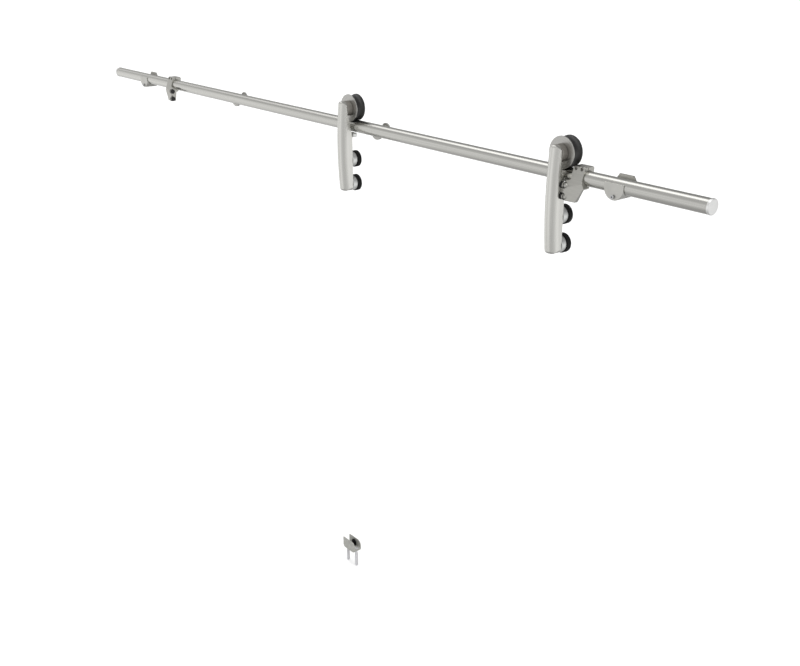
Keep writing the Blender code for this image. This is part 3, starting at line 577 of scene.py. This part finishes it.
def hanger_bar(side):
    """The bowed bar: its front is half an ellipse whose crest and edges bow back towards the ends."""
    node = "hanger_bar_" + side
    low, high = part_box(node)
    half_width = (high.x - low.x) / 2.0
    x = (high.x + low.x) / 2.0
    centre_z = (low.z + high.z) / 2.0
    half_height = (high.z - low.z) / 2.0
    crest_y = -0.039
    crest_bow = 0.005
    edge_y = -0.0225
    edge_bow = 0.0065
    back_y = high.y - RAIL_Y
    top_back_y = -0.0235
    taper_low = RAIL_Z - 0.018
    taper_high = RAIL_Z + 0.020
    corner = 0.007
    land = 0.0005
    foot_round = 0.005
    head_round = 0.0045
    rows = 64
    facets = 32

    def drawn_in(distance, radius):
        """How far a rounded end draws the front in, at a distance from the end."""
        if distance >= radius:
            return 0.0
        return radius - math.sqrt(radius ** 2 - (radius - distance) ** 2)

    def section(z):
        half = half_width
        top_centre = high.z - half_width
        foot_centre = low.z + corner
        if z > top_centre:
            half = math.sqrt(max(half_width ** 2 - (z - top_centre) ** 2, 0.0))
        if z < foot_centre:
            half += math.sqrt(max(corner ** 2 - (foot_centre - z) ** 2, 0.0)) - corner
        step = min(max((z - taper_low) / (taper_high - taper_low), 0.0), 1.0)
        back = back_y + (top_back_y - back_y) * step
        reach = (z - centre_z) / half_height
        inset = max(drawn_in(z - low.z, foot_round), drawn_in(high.z - z, head_round))
        crest = crest_y + crest_bow * reach ** 2 + inset
        edge = edge_y + edge_bow * reach ** 2
        sunk = max(edge - back + land, 0.0) / (edge - crest)
        return min(half, (half_width - inset / 2.0) * math.sqrt(1.0 - sunk ** 2)), back, crest, edge

    ends = 14
    foot_angles = [math.radians(89.0 - 85.0 * i / ends) for i in range(ends)]
    head_angles = [math.radians(4.0 + 85.0 * (i + 1) / ends) for i in range(ends)]
    foot = [low.z + corner - corner * math.sin(a) for a in foot_angles]
    head = [high.z - half_width + half_width * math.sin(a) for a in head_angles]
    start = low.z + corner
    stop = high.z - half_width
    shank = [start + (stop - start) * i / (rows - 1) for i in range(rows)]

    shape = bmesh.new()
    loops = []
    for z in foot + shank + head:
        half, back, crest, edge = section(z)
        points = [(-half, back)]
        for i in range(facets + 1):
            across = -half * math.cos(math.pi * i / facets)
            rise = math.sqrt(max(1.0 - (across / half_width) ** 2, 0.0))
            points.append((across, edge - (edge - crest) * rise))
        points.append((half, back))
        loops.append([shape.verts.new((x + px, RAIL_Y + py, z)) for px, py in points])
    for lower, upper in zip(loops, loops[1:]):
        for i in range(len(lower)):
            j = (i + 1) % len(lower)
            shape.faces.new((lower[i], lower[j], upper[j], upper[i]))
    shape.faces.new(loops[0][::-1])
    shape.faces.new(loops[-1])
    bmesh.ops.recalc_face_normals(shape, faces=shape.faces)
    data = bpy.data.meshes.new("bar_" + side)
    shape.to_mesh(data)
    shape.free()
    bar = shown("bar_" + side, data)
    bevel = bar.modifiers.new("Edges", "BEVEL")
    bevel.width = 0.0007
    bevel.segments = 3
    bevel.limit_method = "ANGLE"
    bevel.angle_limit = math.radians(50.0)
    bar = applied(bar)
    keep(bar, "trolley_" + side, "bar_steel", BAR_FINISH, node)


def wheel(side):
    """The black running wheel, grooved for the rail, and its steel disc."""
    disc_low, disc_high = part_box("wheel_disc_" + side)
    tyre_low, tyre_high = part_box("wheel_tyre_" + side)
    axis = middle("wheel_disc_" + side)
    centre = Vector((axis.x, RAIL_Y, axis.z))
    lift = axis.z - RAIL_Z
    rim = (tyre_high.z - tyre_low.z) / 2.0
    rear = tyre_high.y - RAIL_Y
    half = 0.0088
    count = 28
    groove = []
    for i in range(count + 1):
        across = -half + 2.0 * half * i / count
        drop = math.sqrt(CRADLE_RADIUS ** 2 - across ** 2)
        groove.append((min(lift - drop, rim), -across))
    bearing_radius = 0.013
    bearing_half = 0.004
    lip = bearing_radius - 0.0025
    recess = 0.016
    front = -0.0092 + GAP
    bore = bearing_radius + GAP
    profile = [(rim, rear)] + groove + [
        (rim, front),
        (bore, front),
        (bore, bearing_half + GAP),
        (lip, bearing_half + GAP),
        (lip, 0.0062),
        (recess, 0.0075),
        (recess, rear),
    ]
    tyre = turned("tyre_" + side, profile, centre, TO_WALL, closed=True, steps=128, edge=0.0005)
    keep(tyre, "wheel_" + side, "wheel_polymer", TYRE_FINISH, "wheel_tyre_" + side)

    radius = (disc_high.z - disc_low.z) / 2.0
    face = disc_low.y - RAIL_Y
    back = -0.0092
    step = bearing_radius - 0.0004
    mouth = 0.0078
    profile = [
        (step, -bearing_half - GAP),
        (step, back),
        (radius, back),
        (radius, face),
        (mouth, face),
        (mouth, back),
        (0.0108, back + 0.0006),
        (0.0108, -bearing_half - GAP),
    ]
    disc = turned("disc_" + side, profile, centre, TO_WALL, closed=True, steps=128, edge=0.0004)
    finish = lathed_metal("disc_lathed_" + side, (0.50, 0.495, 0.475), 0.30, centre)
    keep(disc, "wheel_" + side, "disc_steel", finish, "wheel_disc_" + side)
    return centre


def bearing(side, centre):
    """The ball bearing that shows inside the wheel from behind."""
    half = 0.004
    pitch = 0.009
    ball = 0.0021
    balls = 7
    groove = ball + 0.0002
    inner_wall = 0.0076
    outer_wall = 0.0104
    bore = 0.0047 + GAP
    rim = 0.013
    reach = 0.0021
    steps = [reach * (1.0 - 2.0 * i / 10) for i in range(11)]
    track = [(math.sqrt(groove ** 2 - t ** 2), t) for t in steps]
    inner = [(inner_wall, half)]
    inner += [(min(pitch - depth, inner_wall), t) for depth, t in track]
    inner += [(inner_wall, -half), (bore, -half), (bore, half)]
    ring = turned("inner_race_" + side, inner, centre, TO_WALL, closed=True, edge=0.0)
    keep(ring, "trolley_" + side, "bearing_steel", BEARING_FINISH, "bearing_inner_ring_" + side)
    outer = [(rim, half), (rim, -half), (outer_wall, -half)]
    outer += [(max(pitch + depth, outer_wall), -t) for depth, t in track]
    outer += [(outer_wall, half)]
    ring = turned("outer_race_" + side, outer, centre, TO_WALL, closed=True, edge=0.0)
    keep(ring, "wheel_" + side, "bearing_steel", BEARING_FINISH, "bearing_outer_ring_" + side)

    web = 0.0007
    depth = 0.0010
    band = [(pitch + web, depth), (pitch + web, -depth), (pitch - web, -depth), (pitch - web, depth)]
    cage = turned("ball_cage_" + side, band, centre, TO_WALL, closed=True, edge=0.0002)
    for i in range(balls):
        angle = 2.0 * math.pi * (i + 0.5) / balls
        spot = centre + Vector((pitch * math.cos(angle), 0.0, pitch * math.sin(angle)))
        shape = bmesh.new()
        bmesh.ops.create_uvsphere(shape, u_segments=24, v_segments=16, radius=ball)
        data = bpy.data.meshes.new("ball")
        shape.to_mesh(data)
        shape.free()
        cage = cut(cage, shown("ball", put(data, spot)), "UNION")
    keep(cage, "bearing_cage_" + side, "bearing_steel", BEARING_FINISH, "bearing_cage_" + side)


def axle(side, centre):
    """The axle's screw, and the round hub between bar and wheel."""
    head = 0.004 + GAP
    shank = 0.0047
    tip = 0.0288
    spot = centre + Vector((0.0, head, 0.0))
    screw = cap_screw("axle_bolt_" + side, 0.0068, 0.0048, shank, head + tip, spot, TO_WALL)
    keep(screw, "trolley_" + side, "screw_steel", SCREW_FINISH, "axle_screw_" + side)
    low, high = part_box("hub_spacer_" + side)
    radius = (high.z - low.z) / 2.0
    nose = 0.0070
    bore = shank + GAP
    face = -0.0114
    inner_end = high.y - RAIL_Y
    seat = low.y - RAIL_Y
    profile = [
        (nose, inner_end),
        (nose, face),
        (radius, face),
        (radius, seat),
        (bore, seat),
        (bore, inner_end),
    ]
    hub = turned("hub_" + side, profile, centre, TO_WALL, closed=True, steps=128, edge=0.0005)
    keep(hub, "trolley_" + side, "spacer_steel", HUB_PAINTED_SHADE_FINISH, "hub_spacer_" + side)


def anti_jump_block(side):
    """The block under the rail that stops the wheel lifting off, and its stud."""
    node = "anti_jump_block_" + side
    low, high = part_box(node)
    x = (low.x + high.x) / 2.0
    half = (high.x - low.x) / 2.0
    corner = 0.002
    bottom = low.z - RAIL_Z
    top = high.z - RAIL_Z
    front = -0.0125 + GAP
    rear = high.y - RAIL_Y
    outline = [
        *arc((half - corner, bottom + corner), corner, -90.0, 0.0, 8),
        *arc((half - corner, top - corner), corner, 0.0, 90.0, 8),
        *arc((-half + corner, top - corner), corner, 90.0, 180.0, 8),
        *arc((-half + corner, bottom + corner), corner, 180.0, 270.0, 8),
    ]
    body = rounded(plate("jump_block_" + side, outline, front, rear, on_rail(x)), 0.0005)
    stud = rod("stud", M4, low.y - RAIL_Y, rear - 0.004, on_rail(x, 0.0, (top + bottom) / 2.0), TO_WALL)
    body = cut(body, stud, "UNION")
    keep(body, "trolley_" + side, "spacer_steel", SPACER_FINISH, node)


def glass_fixing(side, level):
    """A spacer, a rubber gasket and a countersunk screw that hold the glass to the bar."""
    label = level + "_" + side
    low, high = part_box("glass_gasket_" + label)
    centre = Vector(((low.x + high.x) / 2.0, RAIL_Y, (low.z + high.z) / 2.0))
    radius = (high.z - low.z) / 2.0
    front = low.y - RAIL_Y
    rear = high.y - RAIL_Y
    bore = M8 + GAP
    sink_radius = 0.0080
    sink_depth = 0.0042
    gasket = [
        (radius, rear),
        (radius, front),
        (bore, front),
        (bore, rear - sink_depth),
        (sink_radius + GAP, rear),
    ]
    made = turned("gasket_" + label, gasket, centre, TO_WALL, closed=True, edge=0.0007)
    keep(made, "trolley_" + side, "black_rubber", RUBBER_FINISH, "glass_gasket_" + label)

    low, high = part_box("glass_spacer_" + label)
    radius = (high.z - low.z) / 2.0
    front = low.y - RAIL_Y
    end = high.y - RAIL_Y
    spacer = [(radius, end), (radius, front), (bore, front), (bore, end)]
    made = turned("spacer_" + label, spacer, centre, TO_WALL, closed=True, edge=0.0005)
    keep(made, "trolley_" + side, "spacer_steel", SPACER_FINISH, "glass_spacer_" + label)

    low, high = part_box("glass_screw_" + label)
    tip = low.y - RAIL_Y
    top = high.y - RAIL_Y
    screw = [
        (0.0, top),
        (sink_radius - 0.0004, top),
        (M8, top - sink_depth),
        (M8, tip),
        (0.0, tip),
    ]
    made = turned("panel_screw_" + label, screw, centre, TO_WALL, steps=FINE_STEPS, edge=0.0003)
    made = cut(made, rod("socket", 0.0028, top - 0.003, top + 0.002, centre, TO_WALL, steps=6))
    keep(made, "trolley_" + side, "screw_steel", SCREW_FINISH, "glass_screw_" + label)


# ---------------------------------------------------------------- end stops

STOP_HALF_WIDTH = 0.012
STOP_TOP = 0.0192
STOP_CENTRE_TO_FACE = 0.026
STOP_JAW_BACK = -0.002
STOP_HEAD_TOP = -0.016
STOP_HEAD_BOTTOM = -0.039
STOP_CUP_SHADE_RING = 0.0198            # from the stop's centre to the black ring round each cup, which is painted shade for the gap where cup and head meet
STOP_SCREWS = ("inner", "outer")


def stop_front_outline(toward):
    """Front view of the front jaw: a clamp above the rail and a head that leans towards the trolley."""
    points = [
        (-STOP_HALF_WIDTH, STOP_TOP),
        (-STOP_HALF_WIDTH, -0.0030),
        (-0.0170, -0.0145),
        (-0.0025, STOP_HEAD_BOTTOM),
        (0.0180, STOP_HEAD_BOTTOM),
        (0.0220, -0.0180),
        (0.0220, -0.0064),
        (STOP_HALF_WIDTH, -0.0030),
        (STOP_HALF_WIDTH, STOP_TOP),
    ]
    return [(toward * across, up) for across, up in points]


def stop_side_outline():
    """Side view of the front jaw: rounded top, face leaning forward, head under the rail's front."""
    round_top = 0.0040
    top = arc((-0.0065, STOP_TOP - round_top), round_top, 90.0, 162.0, 14)
    below = STOP_HEAD_BOTTOM - 0.001
    return [
        (STOP_JAW_BACK, STOP_TOP),
        *top,
        (-0.0195, -0.0120),
        (-0.0225, -0.0180),
        (-0.0225, below),
        (-0.0060, below),
        (-0.0060, STOP_HEAD_TOP),
        (STOP_JAW_BACK, -0.0152),
    ]


def stop_rear_outline():
    """Side view of the rear jaw: a block above the rail and a hook round its back."""
    front = STOP_JAW_BACK + 0.0009
    rear = 0.0136
    corner = 0.0048
    lowest = -72.0
    top = arc((rear - corner, STOP_TOP - corner), corner, 90.0, 0.0, 12)
    hook = 0.0150
    over = arc((0.0, 0.0), hook, 33.0, lowest, 30)
    under = arc((0.0, 0.0), CRADLE_RADIUS, lowest, 85.0, 40)
    front_edge = math.sqrt(CRADLE_RADIUS ** 2 - front ** 2)
    return [(front, STOP_TOP)] + top + over + under + [(front, front_edge)]


def end_stop(side):
    """A stop clamped round the rail, with two buffers in cups on its head."""
    toward = -1.0 if side == "right" else 1.0
    x = middle("stop_rear_jaw_" + side).x
    centre = on_rail(x)
    reach = 0.05
    jaw = plate("front_jaw_" + side, stop_front_outline(toward), -0.0275, STOP_JAW_BACK, centre)
    jaw = cut(jaw, plate("profile", stop_side_outline(), -reach, reach, centre, plane="YZ"), "INTERSECT")
    front_y, front_turn = -0.0194, -6.3
    rear_y, rear_turn = -0.0115, 10.1
    jaw = cut(jaw, block("front_trim", (-reach, -reach, -reach), (reach, 0.0, reach),
                         on_rail(x, front_y), (0.0, 0.0, math.radians(toward * front_turn))))
    jaw = cut(jaw, block("rear_trim", (-reach, 0.0, -reach), (reach, reach, STOP_HEAD_TOP),
                         on_rail(x, rear_y), (0.0, 0.0, math.radians(toward * rear_turn))))
    jaw = rounded(jaw, 0.0007, 2)
    seat = -0.0070
    length = 0.0165
    for label in STOP_SCREWS:
        spot = middle("stop_screw_" + label + "_" + side)
        axis = Vector((spot.x, RAIL_Y, spot.z))
        jaw = cut(jaw, rod("bore", M3 + GAP, -0.02, seat + length, axis, TO_WALL, steps=32))
        jaw = cut(jaw, rod("sink", 0.0031, -0.03, seat, axis, TO_WALL, steps=40))

    turn = TO_RIGHT if toward > 0 else TO_LEFT
    face = STOP_CENTRE_TO_FACE
    thickness = 0.0030
    buffer_radius = 0.0056
    stem = 0.0022
    cup_end = face - thickness - GAP
    pocket_end = cup_end - 0.004
    cup_radius = 0.0054
    collar = 0.0026
    slope = 0.0008
    neck = cup_radius - slope
    dome_start = 0.0190
    dome_length = 0.0055
    dome = [(across, dome_start - dome_length * up / neck)
            for across, up in arc((0.0, 0.0), neck, 0.0, 90.0, 10)]
    spots = {}
    for level in LEVELS:
        spot = middle("stop_buffer_" + level + "_" + side)
        spots[level] = Vector((x, spot.y, spot.z))
        profile = [
            (0.0, cup_end),
            (cup_radius, cup_end),
            (cup_radius, cup_end - collar),
            (neck, cup_end - collar - slope),
            *dome,
        ]
        cup = turned("cup", profile, spots[level], turn, steps=FINE_STEPS, edge=0.0)
        jaw = cut(jaw, cup, "UNION")
    for level in LEVELS:
        pocket = rod("pocket", stem + GAP, pocket_end, face, spots[level], turn)
        jaw = cut(jaw, pocket)
    jaw = cut(jaw, rail_channel(x))

    rear = plate("rear_jaw_" + side, stop_rear_outline(), -STOP_HALF_WIDTH, STOP_HALF_WIDTH, centre,
                 plane="YZ")
    rear = rounded(rear, 0.0014, 4)
    for label in STOP_SCREWS:
        node = "stop_screw_" + label + "_" + side
        spot = middle(node)
        axis = Vector((spot.x, RAIL_Y, spot.z))
        rear = cut(rear, rod("bore", M3 + GAP, -0.02, seat + length, axis, TO_WALL, steps=32))
        place = axis + Vector((0.0, seat - GAP, 0.0))
        screw = cap_screw("clamp_screw_" + label + "_" + side, 0.0028, 0.0016, M3, length, place, TO_ROOM)
        keep(screw, "rail_set", "screw_steel", STOP_SCREW_FINISH, node)
    keep(jaw, "rail_set", "stop_steel", STOP_FINISH, "stop_front_jaw_" + side, smooth_below=FLAT_SIDED)
    keep(rear, "rail_set", "stop_steel", STOP_FINISH, "stop_rear_jaw_" + side)

    for level in LEVELS:
        name = level + "_" + side
        # each cup's black ring is painted shade: a dark ring standing for the shadowed gap where the cup
        # meets the head
        ring = arc((cup_radius + 0.0002, STOP_CUP_SHADE_RING), 0.0005, 0.0, 360.0, 12)[:-1]
        made = turned("cup_shade_ring_" + name, ring, spots[level], turn, closed=True, steps=FINE_STEPS, edge=0.0)
        keep(made, "rail_set", "black_rubber", RUBBER_FINISH)
        profile = [
            (0.0, face),
            (buffer_radius, face),
            (buffer_radius, cup_end + GAP),
            (stem, cup_end + GAP),
            (stem, pocket_end + GAP),
            (0.0, pocket_end + GAP),
        ]
        buffer = turned("buffer_" + name, profile, spots[level], turn, steps=FINE_STEPS, edge=0.0007)
        keep(buffer, "rail_set", "black_rubber", BUFFER_FINISH, "stop_buffer_" + name)


# ---------------------------------------------------------------- floor guide

# the threads of the floor screws: how many, their spacing and their radii
THREADS = 34
THREAD_PITCH = 0.00105
THREAD_CREST = 0.0037
THREAD_ROOT = 0.0033


def floor_guide():
    """An open channel screwed to the floor, with a black liner for the glass's edge."""
    low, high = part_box("guide_body")
    centre = middle("guide_body")
    half = (high.x - low.x) / 2.0
    foot = low.z - centre.z
    top = high.z - centre.z
    deep = (high.y - low.y) / 2.0
    top_corner = 0.012
    low_corner = 0.008
    wall = 0.0022
    wide = 0.05
    screw_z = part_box("guide_screw_left")[1].z
    floor = screw_z + 0.0002 - centre.z
    outline = [
        (-half + 0.003, foot),
        *arc((half - low_corner, foot + low_corner), low_corner, -90.0, 0.0, 14),
        *arc((half - top_corner, top - top_corner), top_corner, 0.0, 90.0, 18),
        (-half, top),
        (-half, foot + 0.006),
    ]
    body = plate("guide_channel", outline, -deep, deep, centre)
    body = cut(body, block("slot", (-wide, -deep + wall, floor), (wide, deep - wall - 0.0001, wide), centre))
    body = rounded(body, 0.0005, 2)
    head = 0.0050
    cone = 0.0027
    for side in SIDES:
        node = "guide_screw_" + side
        spot = middle(node)
        axis = Vector((spot.x, spot.y, 0.0))
        low_z, high_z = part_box(node)[0].z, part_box(node)[1].z
        foot_z = low_z + 0.001 + THREADS * THREAD_PITCH
        body = cut(body, rod("drill", M6 + GAP, low_z, high_z + 0.05, axis, UPRIGHT))
        profile = [
            (0.0, high_z + 0.0012),
            (head + 0.0014, high_z + 0.0012),
            (head + 0.0004, high_z + 0.0002),
            (M6 + GAP, high_z + 0.0002 - cone),
            (0.0, high_z + 0.0002 - cone),
        ]
        body = cut(body, turned("sink", profile, axis, UPRIGHT, steps=FINE_STEPS, edge=0.0))
        profile = [(0.0, high_z), (head, high_z), (M6, high_z - cone), (M6, foot_z + THREAD_PITCH)]
        for i in range(THREADS):
            crest = foot_z - i * THREAD_PITCH
            profile += [(THREAD_CREST, crest), (THREAD_ROOT, crest - THREAD_PITCH / 2.0)]
        profile += [(M6 - 0.001, low_z), (0.0, low_z)]
        screw = turned("floor_screw_" + side, profile, axis, UPRIGHT, steps=FINE_STEPS, edge=0.0)
        screw = cut(screw, rod("socket", 0.0023, high_z - 0.002, high_z + 0.002, axis, UPRIGHT, steps=6))
        keep(screw, "rail_set", "screw_steel", FLOOR_SCREW_FINISH, node)
    keep(body, "rail_set", "guide_steel", GUIDE_FINISH, "guide_body")

    low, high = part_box("guide_liner")
    liner_wall = 0.0025
    corner = 0.0072
    right = high.x - 0.003
    left = low.x + 0.0015
    centre = Vector((0.0, 0.0, 0.0))
    outline = [
        (left, low.z),
        (right, low.z),
        *arc((right - corner, high.z - corner), corner, 0.0, 90.0, 12),
        *arc((left + corner, high.z - corner), corner, 90.0, 180.0, 12),
    ]
    liner = plate("guide_lining", outline, low.y, high.y, centre)
    liner = cut(liner, block("inside", (low.x - wide, low.y + liner_wall, low.z + liner_wall),
                             (high.x + wide, high.y - liner_wall, high.z + wide)))
    liner = rounded(liner, 0.0006, 3)
    keep(liner, "rail_set", "liner_polymer", LINER_FINISH, "guide_liner")


# ---------------------------------------------------------------- stage

# the studio's brightness at each height, from straight down to straight up
ROOM_STOPS = (
    (-1.0, 0.38),
    (-0.80, 0.42),
    (-0.50, 0.60),
    (-0.20, 0.66),
    (0.10, 0.60),
    (0.45, 0.44),
    (1.0, 0.50),
)
WALL_SIDE = 0.50                  # how much darker the studio is towards the wall, above the horizon
HORIZON = (-0.10, 0.15)           # heights between which that darkening comes in
STRIP_LEVEL = 1.45                # the long light above the rail
STRIP_EDGES = (0.925, 0.99)
STRIP_FADE = (-0.86, -0.72)       # the strip grows dimmer towards its far end
STRIP_FAR_SHARE = 0.25
# soft panels: degrees round from the rail's direction, degrees up, sharpness and brightness
PANELS = (
    (265.0, -15.0, 10.0, 0.42),
    (28.0, -15.0, 7.0, 0.44),
    (198.0, -12.0, 8.0, 0.40),
)


def math_node(tree, operation, first, second=None, third=None):
    """One step of arithmetic on node outputs or plain numbers."""
    made = tree.nodes.new("ShaderNodeMath")
    made.operation = operation
    for socket, value in zip(made.inputs, (first, second, third)):
        if isinstance(value, float):
            socket.default_value = value
        elif value is not None:
            tree.links.new(value, socket)
    return made.outputs["Value"]


def panel(tree, direction, bearing_angle, height, sharpness, level):
    """The light of one soft panel, brightest towards its own middle."""
    across = math.radians(bearing_angle)
    up = math.radians(height)
    level_share = math.cos(up)
    centre = (math.cos(across) * level_share, math.sin(across) * level_share, math.sin(up))
    toward = tree.nodes.new("ShaderNodeVectorMath")
    toward.operation = "DOT_PRODUCT"
    toward.inputs[1].default_value = centre
    tree.links.new(direction, toward.inputs[0])
    facing = math_node(tree, "MAXIMUM", toward.outputs["Value"], 0.0)
    return math_node(tree, "MULTIPLY", math_node(tree, "POWER", facing, sharpness), level)


def surround():
    """A soft studio: a grey room, a long strip light above the rail and pale panels round it.

    The camera sees plain white instead.
    """
    world = bpy.data.worlds.new("surround")
    world.use_nodes = True
    tree = world.node_tree
    direction = tree.nodes.new("ShaderNodeTexCoord").outputs["Generated"]
    parts = tree.nodes.new("ShaderNodeSeparateXYZ")
    tree.links.new(direction, parts.inputs["Vector"])
    north, up = parts.outputs["Y"], parts.outputs["Z"]

    ramp = tree.nodes.new("ShaderNodeValToRGB")
    stops = ramp.color_ramp
    stops.interpolation = "EASE"
    while len(stops.elements) < len(ROOM_STOPS):
        stops.elements.new(0.5)
    for element, (height, level) in zip(stops.elements, ROOM_STOPS):
        element.position = (height + 1.0) / 2.0
        element.color = (level, level, level, 1.0)
    tree.links.new(math_node(tree, "MULTIPLY_ADD", up, 0.5, 0.5), ramp.inputs["Fac"])
    behind = between(tree, up, 0.0, -WALL_SIDE, inside=HORIZON)
    shade = math_node(tree, "MULTIPLY_ADD", north, behind, 1.0)
    light = math_node(tree, "MULTIPLY", ramp.outputs["Color"], shade)
    for row in PANELS:
        light = math_node(tree, "ADD", light, panel(tree, direction, *row))

    flat = tree.nodes.new("ShaderNodeVectorMath")
    flat.operation = "MULTIPLY"
    flat.inputs[1].default_value = (0.0, 1.0, 1.0)
    tree.links.new(direction, flat.inputs[0])
    round_rail = tree.nodes.new("ShaderNodeVectorMath")
    round_rail.operation = "NORMALIZE"
    tree.links.new(flat.outputs["Vector"], round_rail.inputs[0])
    overhead = tree.nodes.new("ShaderNodeSeparateXYZ")
    tree.links.new(round_rail.outputs["Vector"], overhead.inputs["Vector"])
    strip = between(tree, overhead.outputs["Z"], 0.0, STRIP_LEVEL, inside=STRIP_EDGES)
    fade = between(tree, parts.outputs["X"], STRIP_FAR_SHARE, 1.0, inside=STRIP_FADE)
    light = math_node(tree, "ADD", light, math_node(tree, "MULTIPLY", strip, fade))

    room = tree.nodes["Background"]
    room.inputs["Color"].default_value = (1.0, 1.0, 1.0, 1.0)
    tree.links.new(light, room.inputs["Strength"])
    white = tree.nodes.new("ShaderNodeBackground")
    white.inputs["Color"].default_value = (1.0, 1.0, 1.0, 1.0)
    path = tree.nodes.new("ShaderNodeLightPath")
    mix = tree.nodes.new("ShaderNodeMixShader")
    tree.links.new(path.outputs["Is Camera Ray"], mix.inputs["Fac"])
    tree.links.new(room.outputs["Background"], mix.inputs[1])
    tree.links.new(white.outputs["Background"], mix.inputs[2])
    tree.links.new(mix.outputs["Shader"], tree.nodes["World Output"].inputs["Surface"])
    bpy.context.scene.world = world


def pale_floor():
    """A plain pale floor that takes a faint shadow; reflections see the studio through it."""
    reach = 40.0
    shape = bmesh.new()
    bmesh.ops.create_grid(shape, x_segments=1, y_segments=1, size=reach)
    bmesh.ops.translate(shape, vec=(0.0, 0.0, CAD_BOX[0].z - 0.0005), verts=shape.verts)
    data = bpy.data.meshes.new("floor")
    shape.to_mesh(data)
    shape.free()
    floor = shown("floor", data)
    paint = bpy.data.materials.new("floor_paint")
    paint.use_nodes = True
    tree = paint.node_tree
    shader = tree.nodes["Principled BSDF"]
    shader.inputs["Base Color"].default_value = (0.80, 0.80, 0.80, 1.0)
    shader.inputs["Roughness"].default_value = 1.0
    shader.inputs["Emission Color"].default_value = (1.0, 1.0, 1.0, 1.0)
    shader.inputs["Emission Strength"].default_value = 0.45
    clear = tree.nodes.new("ShaderNodeBsdfTransparent")
    path = tree.nodes.new("ShaderNodeLightPath")
    mix = tree.nodes.new("ShaderNodeMixShader")
    tree.links.new(path.outputs["Is Camera Ray"], mix.inputs["Fac"])
    tree.links.new(clear.outputs["BSDF"], mix.inputs[1])
    tree.links.new(shader.outputs["BSDF"], mix.inputs[2])
    tree.links.new(mix.outputs["Shader"], tree.nodes["Material Output"].inputs["Surface"])
    floor.data.materials.append(paint)


def stage():
    """A plain pale floor, soft studio light and plain tones."""
    pale_floor()
    surround()
    bpy.context.scene.view_settings.view_transform = "Standard"


# the camera: its lens in mm, its place from the rail's right end, and how it is turned in degrees
LENS = 46.54
SENSOR_WIDTH = 36.0
CAMERA_OFFSET = (0.850, -1.2879, 0.3799)
LOOKS_DOWN = 21.417
LOOKS_LEFT = 50.545


def camera():
    """The viewing angle: from the right, a little above the rail."""
    lens = bpy.data.cameras.new("camera")
    lens.lens = LENS
    lens.sensor_width = SENSOR_WIDTH
    lens.clip_end = 100.0
    made = bpy.data.objects.new("camera", lens)
    bpy.context.scene.collection.objects.link(made)
    along, out, up = CAMERA_OFFSET
    made.location = (RAIL_HIGH.x + along, RAIL_Y + out, RAIL_Z + up)
    made.rotation_euler = (math.radians(90.0 - LOOKS_DOWN), 0.0, math.radians(LOOKS_LEFT))
    bpy.context.scene.camera = made


rail()
floor_guide()
for hand in SIDES:
    end_bracket(hand)
    mid_bracket(hand)
    end_stop(hand)
    hanger_bar(hand)
    hub_centre = wheel(hand)
    bearing(hand, hub_centre)
    axle(hand, hub_centre)
    anti_jump_block(hand)
    for height in LEVELS:
        glass_fixing(hand, height)
stage()
camera()
